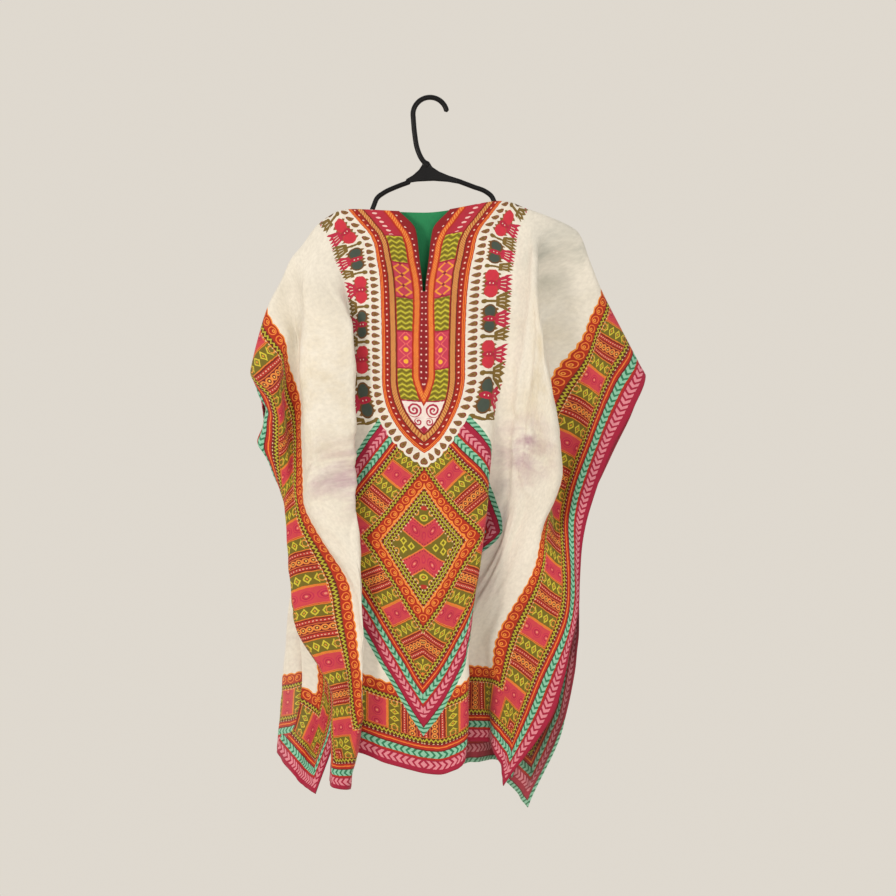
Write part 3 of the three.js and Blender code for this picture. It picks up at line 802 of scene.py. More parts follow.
def lozenges(tree, colour, across, off_middle, reach):
    """A row of outlined yellow lozenges with a hook at either end."""
    pitch, half_wide, half_long = 10.6, 4.5, 7.6
    lozenge = rhomb(tree, repeat(tree, across, pitch), off_middle, half_wide, half_long)
    wide = add(tree, "Math ABSOLUTE", across)
    in_row = where(tree, (wide, 0, reach))
    colour = printed(tree, colour, LEMON, in_row, (lozenge, 0.58, 1.0))
    colour = printed(tree, colour, AMBER, in_row, (lozenge, 0.0, 0.28))
    hook = spread(tree, wide, off_middle, size=(0.8, 1.1), at=(reach + 2.6, 0))
    is_end = where(tree, (wide, reach - 0.5, reach + 5.5))
    return printed(tree, colour, GOLD, is_end, (hook, 3.4, 5.0))


def rosettes(tree, colour, across, off_middle):
    """Two-ringed rosettes, crimson on rose, each with a pale heart."""
    pitch = 17.0
    bloom = spread(tree, repeat(tree, across, pitch, pitch / 2), off_middle)
    colour = printed(tree, colour, "#BF2F50", (bloom, 6.2, 7.4))
    colour = printed(tree, colour, "#B02447", (bloom, 3.0, 4.6))
    return printed(tree, colour, "#E8907C", (bloom, 0, 1.4))


def chain(tree, colour, across, off_middle):
    """A chain of orange links on maroon."""
    link = spread(tree, repeat(tree, across, 7.4), off_middle, size=(1.0, 1.15))
    colour = printed(tree, colour, "#E58C40", (link, 2.2, 4.0))
    return printed(tree, colour, "#EBC25C", (link, 0, 1.0))


def blocks(tree, along, across):
    """The border's row of blocks: rose with rosettes, olive with lozenges, striped, olive again."""
    place = add(tree, "Math FLOORED_MODULO", along, BLOCK_REPEAT)
    wide = add(tree, "Math ABSOLUTE", across)
    dots = where(tree, (repeat(tree, across, DOT_PITCH), -0.8, 0.8))
    colour = ramp(tree, place, 0, BLOCK_REPEAT, BLOCK_STARTS)

    from_rose = add(tree, "Math SUBTRACT", place, ROSE_MIDDLE)
    off_rose = add(tree, "Math ABSOLUTE", from_rose)
    half_long, half_wide = ROSE_HALF
    rose = rosettes(tree, linear(ROSE), across, from_rose)
    colour = printed(tree, colour, rose, (off_rose, 0, half_long), (wide, 0, half_wide))
    rim = add(
        tree, "Math MAXIMUM", add(tree, "Math SUBTRACT", off_rose, half_long),
        add(tree, "Math SUBTRACT", wide, half_wide),
    )
    colour = printed(tree, colour, RIM_ORANGE, (off_rose, 0, half_long + 2.2), (rim, 0.0, 0.9))

    folded = add(tree, "Math PINGPONG", add(tree, "Math SUBTRACT", place, OLIVE_MIDDLE), 26.0)
    in_olive = add(tree, "Math MAXIMUM", where(tree, (place, 29, 48)), where(tree, (place, 80, 101)))
    colour = printed(tree, colour, lozenges(tree, linear(OLIVE), across, folded, 16.0), in_olive)

    from_stripe = add(tree, "Math SUBTRACT", place, STRIPED_MIDDLE)
    off_stripe = add(tree, "Math ABSOLUTE", from_stripe)
    colour = printed(tree, colour, "#D2693A", (off_stripe, 5.6, 7.0))
    colour = printed(tree, colour, BRICK, (off_stripe, 8.6, 13.2))
    colour = printed(tree, colour, "#E6B79E", (off_stripe, 10.3, 11.7), dots)
    links = chain(tree, linear(MAROON), across, from_stripe)
    colour = printed(tree, colour, links, (off_stripe, 0, 5.2))
    for line in BLOCK_LINES:
        colour = printed(tree, colour, LINE_ORANGE, (place, line - 0.7, line + 0.7))
    return printed(tree, colour, LINE_ORANGE, (wide, 21.2, 22.6))


def heart_field(tree, along, x, y):
    """The inside of the diamond: two rose chevrons that meet in the middle, small motifs on olive."""
    colour = linear(OLIVE)
    for middle in ((17.0, 0.0), (28.0, 6.2)):
        from_x = add(tree, "Math SUBTRACT", x, middle[0])
        from_y = add(tree, "Math SUBTRACT", y, middle[1])
        lozenge = rhomb(tree, from_x, from_y, 5.0, 6.2)
        colour = printed(tree, colour, LEMON, (lozenge, 0.5, 1.0))
    for middle in ((37.5, 9.5), (10.5, 50.0)):
        curl = spread(tree, x, y, size=(0.9, 1.1), at=middle)
        colour = printed(tree, colour, GOLD, (curl, 2.6, 4.4))
    ring = spread(tree, x, y, size=(6.0, 5.0), at=(0, 42.5))
    colour = printed(tree, colour, LEMON, (ring, 0.6, 1.0))
    colour = printed(tree, colour, AMBER, (ring, 0.0, 0.3))
    bead = spread(tree, x, y, size=(5.4, 3.4), at=(0, 56.5))
    colour = printed(tree, colour, BRICK, (bead, 0.0, 1.0))

    half_long = 12.4
    from_rose = add(tree, "Math SUBTRACT", along, 13.0)
    rose = rosettes(tree, linear(ROSE), add(tree, "Math SUBTRACT", x, 12.5), from_rose)
    colour = printed(tree, colour, rose, (from_rose, -half_long, half_long))
    for edge in (-half_long, half_long):
        colour = printed(tree, colour, RIM_ORANGE, (from_rose, edge - 0.8, edge + 0.8))
    off_rose = add(tree, "Math ABSOLUTE", from_rose)
    dots = where(tree, (off_rose, 9.4, 10.8), (repeat(tree, x, DOT_PITCH), -0.8, 0.8))
    return printed(tree, colour, "#8E2A34", dots)


def arrow_bands(tree, along, edge):
    """The border's plain bands, with a row of dark arrows in the pink one and in the mint one."""
    dark_bands = [(place, DARK_OF.get(colour, colour)) for place, colour in BORDER_BANDS]
    from_mint = add(tree, "Math SUBTRACT", edge, MINT_MIDDLE)
    from_pink = add(tree, "Math SUBTRACT", edge, PINK_MIDDLE)
    off = add(tree, "Mix", where(tree, (edge, *PINK_ROW)), from_mint, from_pink)
    lean = add(tree, "Math MULTIPLY_ADD", add(tree, "Math ABSOLUTE", off), ARROW_LEAN, along)
    phase = add(tree, "Math FLOORED_MODULO", lean, ARROW_PITCH)
    arrow = add(tree, "Math LESS_THAN", phase, ARROW_WIDTH)
    light = ramp(tree, edge, *BORDER_SPAN, BORDER_BANDS)
    dark = ramp(tree, edge, *BORDER_SPAN, dark_bands)
    return add(tree, "Mix", arrow, light, dark, data_type="RGBA")


def ring_band(tree, colour, along, edge):
    """The orange rings, each with a curl inside, that run along the band's inner side."""
    ring_along = repeat(tree, along, RING_PITCH)
    ring_across = add(tree, "Math SUBTRACT", edge, RING_MIDDLE)
    ring = spread(tree, ring_along, ring_across)
    in_band = where(tree, (edge, *RING_ROW))
    colour = printed(tree, colour, "#EE8438", in_band, (ring, 4.5, 5.9))
    curl = spread(tree, ring_along, ring_across, at=(1.4, 1.0))
    colour = printed(tree, colour, "#F09C42", in_band, (curl, 0, 2.3))
    return printed(tree, colour, "#B9321F", in_band, (curl, 0, 1.0))


def border(tree, along, edge, inner, x, y):
    """The printed border, from the cloth's edge in: arrows, stripes, zigzag, blocks, zigzag, rings."""
    colour = arrow_bands(tree, along, edge)
    row = blocks(tree, along, add(tree, "Math SUBTRACT", edge, BLOCK_MIDDLE))
    colour = printed(tree, colour, row, (edge, *BLOCK_ROW))
    heart = heart_field(tree, add(tree, "Math ADD", along, HEART_SHIFT), x, y)
    colour = printed(tree, colour, heart, inner, add(tree, "Math GREATER_THAN", edge, FIELD_START))
    for middle in ZIGZAG_MIDDLES:
        colour = zigzag(tree, colour, along, edge, middle)
    colour = ring_band(tree, colour, along, edge)

    # Inside the diamond the rings end in a line, two more zigzags and a row of dots.
    colour = printed(tree, colour, "#EE8A36", inner, (edge, 118.5, 121))
    lace = colour
    for middle in LACE_MIDDLES:
        lace = zigzag(tree, lace, along, edge, middle)
    lace = printed(tree, lace, STRAW, (edge, 136.2, 138.4), (repeat(tree, along, 5.8), -1.1, 1.1))
    return printed(tree, colour, lace, inner, (edge, 121, 138.4))


def scalloped(tree, along, edge):
    """How far a place lies inside the ring band's scalloped inner line."""
    wave = add(tree, "Math SINE", add(tree, "Math MULTIPLY", along, math.pi / RING_PITCH))
    bulge = add(tree, "Math ABSOLUTE", wave)
    reach = add(tree, "Math MULTIPLY_ADD", bulge, SCALLOP_HEIGHT, SCALLOP_LINE)
    return add(tree, "Math SUBTRACT", edge, reach)


def plaque_panels(tree, colour, inside, down):
    """The panels between the braids, stacked down the plaque: flared, wavy, latticed, flowered."""
    beside = add(tree, "Math SUBTRACT", inside, PANEL_MIDDLE)
    wide = add(tree, "Math ABSOLUTE", beside)

    wave = add(tree, "Math MULTIPLY_ADD", add(tree, "Math PINGPONG", inside, 5.9), 0.62, down)
    phase = add(tree, "Math FLOORED_MODULO", wave, 7.6)
    wavy = printed(tree, linear("#867C22"), LIME, add(tree, "Math LESS_THAN", phase, 2.3))
    wavy = printed(tree, wavy, "#5C4F1A", (phase, 4.4, 5.4))

    cross_a = add(tree, "Math PINGPONG", add(tree, "Math SUBTRACT", down, 85.0), 8.4)
    cross_b = add(tree, "Math MULTIPLY", wide, 0.75)
    lattice = add(tree, "Math COMPARE", add(tree, "Math SUBTRACT", cross_a, cross_b), 0.0, 1.5)
    latticed = printed(tree, "#C9415A", "#EFA03C", lattice)
    heart = add(tree, "Math LESS_THAN", add(tree, "Math ADD", cross_a, cross_b), 2.6)
    latticed = printed(tree, latticed, "#8A1E3A", heart)

    from_flower = repeat(tree, down, 17.0, 188.5)
    petals = add(tree, "Math ADD", wide, add(tree, "Math ABSOLUTE", from_flower))
    flowered = printed(tree, "#C9405A", "#E8706A", (petals, 8.6, 10.2))
    flowered = printed(tree, flowered, "#F3B53E", (spread(tree, beside, from_flower), 0, 3.2))

    beside_dash = add(tree, "Math ADD", beside, 2.0)
    dash = spread(tree, beside_dash, repeat(tree, down, 6.5), size=(3.4, 1.5))
    flared = printed(tree, "#B52C40", "#F0C4C0", (dash, 0, 1))

    in_panel = where(tree, (inside, *PANEL_ROW), add(tree, "Math LESS_THAN", down, PANEL_FOOT))
    for low, high, paint in (
        (0, 42, flared), (44, 83, wavy), (85, 136, latticed), (138, 186, wavy), (188, 240, flowered),
        (242, 286, wavy),
    ):
        colour = printed(tree, colour, paint, in_panel, (down, low, high))
    return colour


def plaque_tongue(tree, colour, tongue, twist, down):
    """The tongue down the plaque's middle: a dark heart with beads, and an orange braid round it."""
    colour = printed(tree, colour, RED, add(tree, "Math LESS_THAN", tongue, TONGUE_HALF))
    colour = printed(tree, colour, "#D9622B", (tongue, 7.4, 14.4))
    strand = add(tree, "Math LESS_THAN", twist, 1.5)
    colour = printed(tree, colour, "#EE9A4A", (tongue, 8.2, 13.6), strand)
    colour = printed(tree, colour, "#8E1C24", add(tree, "Math LESS_THAN", tongue, 6.0))
    bead = spread(tree, add(tree, "Math SUBTRACT", tongue, 3.6), repeat(tree, down, 8.6))
    return printed(tree, colour, "#F0D2CC", (bead, 0, 1.1))


def plaque_tip(tree, across, down):
    """The white tip with its two pairs of spirals."""
    tip = linear("#EFE3E0")
    for middle, pitch, reach in (((13.6, 300.0), 5.4, 10.6), ((7.6, 316.5), 4.2, 5.8)):
        off_a, off_d = (add(tree, "Math SUBTRACT", value, at) for value, at in zip((across, down), middle))
        far = spread(tree, off_a, off_d)
        turn = add(tree, "Math ARCTAN2", off_d, off_a)
        wound = add(tree, "Math MULTIPLY_ADD", turn, pitch / (2 * math.pi), far)
        phase = add(tree, "Math FLOORED_MODULO", wound, pitch)
        line = add(tree, "Math LESS_THAN", phase, 0.52 * pitch)
        tip = printed(tree, tip, "#B02A48", (far, 0, reach), line)
    off_heart = add(tree, "Math ABSOLUTE", add(tree, "Math SUBTRACT", down, 327.0))
    heart = add(tree, "Math ADD", across, off_heart)
    return printed(tree, tip, "#A8243F", add(tree, "Math LESS_THAN", heart, 5.6))


def plaque(tree, inside, across, down):
    """The neck plaque, from its outline in: orange lines, dots, gold braid, panels, tongue, tip."""
    colour = ramp(tree, inside, 0, 80, PLAQUE_BANDS)
    dot = spread(tree, repeat(tree, down, 8.0), add(tree, "Math SUBTRACT", inside, 8.6))
    colour = printed(tree, colour, "#F0CFC0", (dot, 0, 1.15))
    twist = add(tree, "Math FLOORED_MODULO", add(tree, "Math ADD", down, inside), BRAID_TWIST)
    strand = add(tree, "Math LESS_THAN", twist, 1.3)
    colour = printed(tree, colour, "#B5542C", (inside, *GOLD_BRAID), strand)
    colour = plaque_panels(tree, colour, inside, down)

    # The tongue follows the slit at the top and narrows to a point at its foot.
    taper = add(tree, "Math MAXIMUM", add(tree, "Math SUBTRACT", down, 250.0), 0.0)
    narrowed = add(tree, "Math MULTIPLY_ADD", add(tree, "Math POWER", taper, 1.5), 0.0566, across)
    from_slit = add(tree, "Math SUBTRACT", 64.0, inside)
    below_slit = add(tree, "MapRange", down, 95.0, 190.0, 0.0, 1.0)
    tongue = add(tree, "Mix", below_slit, from_slit, narrowed)
    colour = plaque_tongue(tree, colour, tongue, twist, down)

    in_tip = where(
        tree, (inside, PANEL_ROW[0], 90), add(tree, "Math GREATER_THAN", down, TIP_START),
        add(tree, "Math GREATER_THAN", tongue, TONGUE_HALF),
    )
    return printed(tree, colour, plaque_tip(tree, across, down), in_tip)


def tulip(tree, colour, out, beside, paint):
    """A tulip that opens outward from the plaque: pointed petals with pale slots."""
    x = add(tree, "Math DIVIDE", add(tree, "Math SUBTRACT", out, TULIP_OUT), TULIP_SIZE)
    half = add(tree, "Math MULTIPLY_ADD", x, 0.42 * TULIP_SIZE, 4.6 * TULIP_SIZE)
    share = add(tree, "Math DIVIDE", add(tree, "Math ABSOLUTE", beside), half)
    off_tip = add(tree, "Math PINGPONG", share, 0.25)
    reach = add(tree, "Math MULTIPLY_ADD", off_tip, -20.0, 17.0)
    in_cup = where(
        tree, add(tree, "Math GREATER_THAN", x, 0.0), add(tree, "Math LESS_THAN", x, reach),
        add(tree, "Math LESS_THAN", share, 1.1),
    )
    slot = where(
        tree, add(tree, "Math LESS_THAN", off_tip, 0.055), (x, 4.6, 10.5),
        add(tree, "Math LESS_THAN", share, 0.7),
    )
    return printed(tree, printed(tree, colour, paint, in_cup), OFF_WHITE, slot, in_cup)


def flower(tree, colour, out, beside, rim, paint):
    """A pair of round petals on a fringed leaf, with a tulip at their waist and two pale seeds."""
    nearest = add(tree, "Math ABSOLUTE", beside)
    off_out = add(tree, "Math SUBTRACT", out, FLOWER_OUT)
    far_out = add(tree, "Math ABSOLUTE", off_out)
    fringe = add(tree, "Math MULTIPLY_ADD", add(tree, "Math PINGPONG", nearest, 2.9), 1.8, 10.4)
    leaf = add(tree, "Math LESS_THAN", far_out, fringe)
    colour = printed(tree, colour, "#85602F", leaf, (nearest, 0, 16.5))
    colour = tulip(tree, colour, out, beside, "#BC2C48")
    petal = spread(tree, off_out, nearest, size=(11.6, 10.4), at=(0, 11.2))
    colour = printed(tree, colour, rim, (petal, 0, 1))
    colour = printed(tree, colour, paint, (petal, 0, 0.78))
    waist = spread(tree, off_out, nearest, size=(11.5, 4.2))
    colour = printed(tree, colour, "#B3263F", (waist, 0, 1))
    seed = spread(tree, far_out, nearest, at=(3.0, 0))
    return printed(tree, colour, OFF_WHITE, (seed, 0, 1.0))


def stalk(tree, colour, out, beside):
    """A brown tulip on a straight stem with a knob at its foot."""
    colour = printed(tree, colour, BROWN, (beside, -1.9, 1.9), (out, 22.0, 47))
    knob = spread(tree, out, beside, size=(1.4, 1.0), at=(23.5, 0))
    colour = printed(tree, colour, BROWN, (knob, 0, 3.3))
    return tulip(tree, colour, out, beside, BROWN)


def garland(tree, colour, out, along):
    """Flowers round the plaque: red and dark green pairs of petals with tulips between them."""
    near_neck = add(tree, "Math MULTIPLY_ADD", out, -0.4, along)
    lean = add(tree, "MapRange", near_neck, 20.0, 90.0, 0.5, 0.0)
    leaning = add(tree, "Math SUBTRACT", along, add(tree, "Math MULTIPLY", lean, out))
    place = add(tree, "Math FLOORED_MODULO", leaning, 2 * FLOWER_PITCH)
    for step, rim, paint in ((0, "#C93A44", "#CC3346"), (1, "#6B4A2A", "#46524A")):
        beside = add(tree, "Math SUBTRACT", place, FIRST_FLOWER + step * FLOWER_PITCH)
        colour = flower(tree, colour, out, beside, rim, paint)
    for step in (0.5, 1.5):
        beside = add(tree, "Math SUBTRACT", place, FIRST_FLOWER + step * FLOWER_PITCH)
        colour = stalk(tree, colour, out, beside)
    return colour


def drops(tree, colour, out, along):
    """The row of brown drops next to the plaque, small at the plaque and wider outward."""
    swell = add(tree, "Math MULTIPLY_ADD", out, 0.075, 0.32)
    beside = add(tree, "Math DIVIDE", repeat(tree, along, DROP_PITCH), swell)
    drop = spread(tree, out, beside, size=(6.4, 3.2), at=(9.2, 0))
    for reach, paint in ((1, "#8A3A2C"), (0.76, "#86683A"), (0.3, "#7A4A2C")):
        colour = printed(tree, colour, paint, (drop, 0, reach))
    return colour


def hemmed_border(tree, across, down, turned_edge):
    """The border along the sides and the hem, mitred at the corners: its distances in and along."""
    from_side = add(tree, "Math SUBTRACT", HALF_WIDTH, across)
    from_hem = add(tree, "Math SUBTRACT", LENGTH, down)
    at_side = add(tree, "Math LESS_THAN", from_side, from_hem)
    nearest = add(tree, "Math MINIMUM", from_side, from_hem)
    hem_along = add(tree, "Math ADD", across, LENGTH - HALF_WIDTH)
    edge = add(tree, "Math SUBTRACT", nearest, turned_edge)
    return edge, add(tree, "Mix", at_side, hem_along, down)


def diamond_border(tree, across, off_centre):
    """The same border laid round a rhombus: its depth, and its distances in and along."""
    slant = math.hypot(1 / DIAMOND_WIDE, 1 / DIAMOND_HIGH)
    side = math.hypot(DIAMOND_WIDE, DIAMOND_HIGH)
    share_down = add(tree, "Math DIVIDE", off_centre, DIAMOND_HIGH)
    share = add(tree, "Math MULTIPLY_ADD", across, 1 / DIAMOND_WIDE, share_down)
    depth = add(tree, "Math DIVIDE", add(tree, "Math SUBTRACT", 1.0, share), slant)
    edge = add(tree, "Math MULTIPLY_ADD", depth, DIAMOND_SCALE, -10.0)
    rise = add(tree, "Math MULTIPLY", off_centre, DIAMOND_HIGH / side)
    along = add(tree, "Math MULTIPLY_ADD", across, -DIAMOND_WIDE / side, rise)
    return depth, edge, add(tree, "Math SUBTRACT", along, HEART_SHIFT)


def plaque_outline(tree, across, down):
    """Straight sides that flare to the shoulder over a pointed arch: the distances in and round it."""
    low = add(tree, "Math MAXIMUM", add(tree, "Math SUBTRACT", down, ARCH_START), 0.0)
    arch_x = add(tree, "Math ADD", across, ARCH_RADIUS - PLAQUE_HALF)
    inside = add(tree, "Math SUBTRACT", ARCH_RADIUS, spread(tree, arch_x, low))
    flare = add(tree, "FloatCurve", 1.0, add(tree, "Math DIVIDE", down, ARCH_START))
    widen = flare.node.mapping.curves[0]
    for place, value in FLARE_CURVE:
        widen.points.new(place, value)
    widen.points[0].location = (0.0, 1.0)
    widen.points[-1].location = (1.0, 0.0)
    flare.node.mapping.update()
    inside = add(tree, "Math MULTIPLY_ADD", flare, PLAQUE_FLARE, inside)
    turn = add(tree, "Math ARCTAN2", low, arch_x)
    straight = add(tree, "Math MINIMUM", down, ARCH_START)
    return inside, add(tree, "Math MULTIPLY_ADD", turn, ARCH_RADIUS, straight)


def plaque_margin(tree, ground, out, down, round_along):
    """The cream round the plaque with its drops and garland: its mask and its colour."""
    margin = where(tree, (out, -1, 74), add(tree, "Math LESS_THAN", down, 330.0))
    wave = add(tree, "Math SINE", add(tree, "Math MULTIPLY", round_along, math.pi / DROP_PITCH))
    petals_out = add(tree, "Math MULTIPLY_ADD", add(tree, "Math ABSOLUTE", wave), -2.4, out)
    margin = add(tree, "Math MAXIMUM", margin, where(tree, (petals_out, -4, 16.4)))
    above_foot = add(tree, "Math LESS_THAN", round_along, 318.0)
    flowers = garland(tree, ground, out, round_along)
    cream = printed(tree, ground, flowers, (out, 15.5, 72), above_foot)
    return margin, drops(tree, cream, out, round_along)


def print_group():
    """The whole print as one node group, from flat places in metres to a colour."""
    tree = bpy.data.node_groups.new("border_print", "ShaderNodeTree")
    tree.interface.new_socket("Flat", in_out="INPUT", socket_type="NodeSocketVector")
    tree.interface.new_socket("Turned edge", in_out="INPUT", socket_type="NodeSocketFloat")
    tree.interface.new_socket("Colour", in_out="OUTPUT", socket_type="NodeSocketColor")
    source = tree.nodes.new("NodeGroupInput")
    flat = source.outputs["Flat"]

    # The screen's edges wander by less than a millimetre on the woven cloth.
    wander = add(tree, "TexNoise", flat, 240.0, 1.0).node.outputs["Color"]
    shift = add(tree, "VectorMath SUBTRACT", wander, (0.5, 0.5, 0.5))
    shaken = add(tree, "VectorMath MULTIPLY_ADD", shift, (0.0016, 0.0016, 0.0), flat)
    parts = add(tree, "SeparateXYZ", shaken).node
    down = add(tree, "Math MULTIPLY", parts.outputs["Y"], 1000.0)
    across = add(tree, "Math ABSOLUTE", add(tree, "Math MULTIPLY", parts.outputs["X"], 1000.0))

    edge, along = hemmed_border(tree, across, down, source.outputs["Turned edge"])
    off_centre = add(tree, "Math ABSOLUTE", add(tree, "Math SUBTRACT", down, DIAMOND_CENTRE))
    depth, diamond_edge, diamond_along = diamond_border(tree, across, off_centre)
    in_diamond = where(
        tree, add(tree, "Math GREATER_THAN", depth, 0.0),
        add(tree, "Math GREATER_THAN", down, DIAMOND_TOP),
    )
    edge = add(tree, "Mix", in_diamond, edge, diamond_edge)
    along = add(tree, "Mix", in_diamond, along, diamond_along)
    colour = border(tree, along, edge, in_diamond, across, off_centre)

    ground = linear(CREAM)
    past = scalloped(tree, along, edge)
    off_diamond = add(tree, "Math SUBTRACT", 1.0, in_diamond)
    colour = printed(tree, colour, ground, add(tree, "Math GREATER_THAN", past, 0.0), off_diamond)
    colour = printed(tree, colour, "#F0953F", (past, -1.4, 0.8))

    inside, round_along = plaque_outline(tree, across, down)
    out = add(tree, "Math MULTIPLY", inside, -1.0)
    margin, cream = plaque_margin(tree, ground, out, down, round_along)
    on_diamond = where(tree, in_diamond, add(tree, "Math GREATER_THAN", out, 19.0))
    colour = printed(tree, colour, cream, margin, add(tree, "Math SUBTRACT", 1.0, on_diamond))
    in_plaque = add(tree, "Math GREATER_THAN", inside, 0.0)
    colour = printed(tree, colour, plaque(tree, inside, across, down), in_plaque)

    sink = tree.nodes.new("NodeGroupOutput")
    tree.links.new(colour, sink.inputs[0])
    return tree


# ---- materials ------------------------------------------------------------------------------------


def blank_material(name):
    """A new material with only a principled shader on its output."""
    material = bpy.data.materials.new(name)
    material.use_nodes = True
    tree = material.node_tree
    tree.nodes.clear()
    shader = add(tree, "BsdfPrincipled").node
    sink = tree.nodes.new("ShaderNodeOutputMaterial")
    tree.links.new(shader.outputs[0], sink.inputs["Surface"])
    return material, tree, shader


def shaded(tree, colour, share):
    """A colour made lighter or darker by a share."""
    grey = add(tree, "CombineColor", share, share, share)
    return add(tree, "Mix", 1.0, colour, grey, data_type="RGBA", blend_type="MULTIPLY")


THREAD = 1.1  # mm: the lawn's threads are 0.3 mm apart, drawn coarser so that they show

# Soft stains on the cloth: whether they lie on both sides alike, their middle and reach on the flat
# cloth in metres, whether they run in streaks, how strong they are and their tint.
STAINS = [
    # lilac where the red has bled at the waist
    {"paired": True, "at": (0.215, 0.375), "reach": (0.13, 0.075), "streaked": True,
     "strength": 0.95, "tint": "#C8A9C0"},
    # blue-grey at the shoulders and beside the diamond
    {"paired": False, "at": (0.245, 0.075), "reach": (0.12, 0.08), "streaked": False,
     "strength": 0.65, "tint": "#B4C0C4"},
    {"paired": False, "at": (-0.26, 0.09), "reach": (0.06, 0.05), "streaked": False,
     "strength": 0.3, "tint": "#C0C9CC"},
    {"paired": True, "at": (0.165, 0.49), "reach": (0.06, 0.10), "streaked": False,
     "strength": 0.65, "tint": "#B0B5C4"},
    # faint lilac near the hem, and a little buff all over
    {"paired": True, "at": (0.23, 0.62), "reach": (0.10, 0.12), "streaked": True,
     "strength": 0.4, "tint": "#CDBFCC"},
    {"paired": True, "at": (0.25, 0.25), "reach": (0.16, 0.22), "streaked": False,
     "strength": 0.5, "tint": "#DED0B0"},
]


def stained(tree, colour, uv, x, y):
    """Lays the soft stains over the cloth's colour."""
    wide_x = add(tree, "Math ABSOLUTE", x)
    blot = add(tree, "TexNoise", uv, 15.0, 5.0, 0.6)
    stretched = add(tree, "Mapping", uv, None, (0.0, 0.0, -0.3), (9.0, 30.0, 1.0))
    streak = add(tree, "TexNoise", stretched, 1.0, 4.0, 0.62)
    for stain in STAINS:
        from_x = wide_x if stain["paired"] else x
        spot = spread(tree, from_x, y, size=stain["reach"], at=stain["at"])
        fade = add(tree, "MapRange", spot, 1.0, 0.2, 0.0, 1.0)
        noise = streak if stain["streaked"] else blot
        uneven = add(tree, "MapRange", noise, 0.4, 0.66, 0.0, stain["strength"])
        amount = add(tree, "Math MULTIPLY", fade, uneven)
        colour = add(tree, "Mix", amount, colour, stain["tint"], data_type="RGBA", blend_type="MULTIPLY")
    return colour


def printed_lawn(name, print_tree, turned_edge, show_through):
    """Cotton lawn, plain woven and screen printed: matt, with a faint weave and soft worn colour."""
    material, tree, shader = blank_material(name)
    uv = add(tree, "UVMap", uv_map="flat_cloth")
    parts = add(tree, "SeparateXYZ", uv).node
    x, y = parts.outputs["X"], parts.outputs["Y"]
    group = tree.nodes.new("ShaderNodeGroup")
    group.node_tree = print_tree
    tree.links.new(uv, group.inputs["Flat"])
    right_of = add(tree, "MapRange", x, -0.26, -0.2, 0.0, turned_edge)
    near_hem = add(tree, "MapRange", y, 0.68, 0.72, 0.0, 1.0)
    tree.links.new(add(tree, "Math MULTIPLY", right_of, near_hem), group.inputs["Turned edge"])

    # Dye that took unevenly, and handling that greyed the cloth in large soft patches.
    soil = add(tree, "TexNoise", uv, 9.0, 4.0)
    tone = add(tree, "MapRange", soil, 0.3, 0.7, 0.94, 1.03)
    mottle = add(tree, "TexNoise", uv, 170.0, 3.0)
    fleck = add(tree, "MapRange", mottle, 0.3, 0.7, 0.92, 1.05)
    colour = shaded(tree, group.outputs["Colour"], add(tree, "Math MULTIPLY", tone, fleck))
    colour = stained(tree, colour, uv, x, y)
    if show_through < 1:
        colour = add(tree, "Mix", 1 - show_through, colour, "#D8CDB8", data_type="RGBA")

    # Plain weave: two crossing sets of threads.
    scale = 1000 * 2 * math.pi / THREAD
    warp = add(tree, "Math SINE", add(tree, "Math MULTIPLY", x, scale))
    weft = add(tree, "Math SINE", add(tree, "Math MULTIPLY", y, scale))
    height = add(tree, "Math MULTIPLY_ADD", mottle, 2.0, add(tree, "Math MULTIPLY", warp, weft))
    rough = add(tree, "MapRange", mottle, 0.2, 0.8, 0.78, 0.9)
    tree.links.new(colour, shader.inputs["Base Color"])
    tree.links.new(rough, shader.inputs["Roughness"])
    tree.links.new(add(tree, "Bump", 0.16, 0.0006, None, height), shader.inputs["Normal"])
    shader.inputs["Sheen Weight"].default_value = 0.12
    shader.inputs["Sheen Roughness"].default_value = 0.5
    shader.inputs["Specular IOR Level"].default_value = 0.3
    shader.inputs["Subsurface Weight"].default_value = 0.0
    return material


def dyed_cotton(name, colour):
    """Plain-woven cotton, vat dyed: one even green with slubs that catch the light."""
    material, tree, shader = blank_material(name)
    uv = add(tree, "UVMap", uv_map="flat_cloth")
    slub = add(tree, "TexNoise", add(tree, "Mapping", uv, None, None, (300.0, 60.0, 1.0)), 3.0, 2.0)
    tone = add(tree, "MapRange", slub, 0.3, 0.7, 0.86, 1.08)
    tree.links.new(shaded(tree, colour, tone), shader.inputs["Base Color"])
    tree.links.new(add(tree, "Bump", 0.2, 0.0005, None, slub), shader.inputs["Normal"])
    shader.inputs["Roughness"].default_value = 0.8
    shader.inputs["Sheen Weight"].default_value = 0.1
    return material


def moulded_polystyrene(name, colour):
    """Injection-moulded polystyrene: near-black, satin, with faint flow marks and handling scuffs."""
    material, tree, shader = blank_material(name)
    place = add(tree, "TexCoord").node.outputs["Object"]
    flow = add(tree, "TexNoise", place, 60.0, 3.0)
    scuff = add(tree, "TexNoise", place, 700.0, 2.0)
    rough = add(tree, "MapRange", flow, 0.3, 0.7, 0.28, 0.42)
    worn = add(tree, "MapRange", scuff, 0.62, 0.75, 0.0, 0.35)
    scuffed = add(tree, "Mix", worn, colour, "#1C1C22", data_type="RGBA")
    tree.links.new(scuffed, shader.inputs["Base Color"])
    tree.links.new(rough, shader.inputs["Roughness"])
    tree.links.new(add(tree, "Bump", 0.08, 0.0004, None, scuff), shader.inputs["Normal"])
    shader.inputs["IOR"].default_value = 1.59
    shader.inputs["Specular IOR Level"].default_value = 0.16
    return material


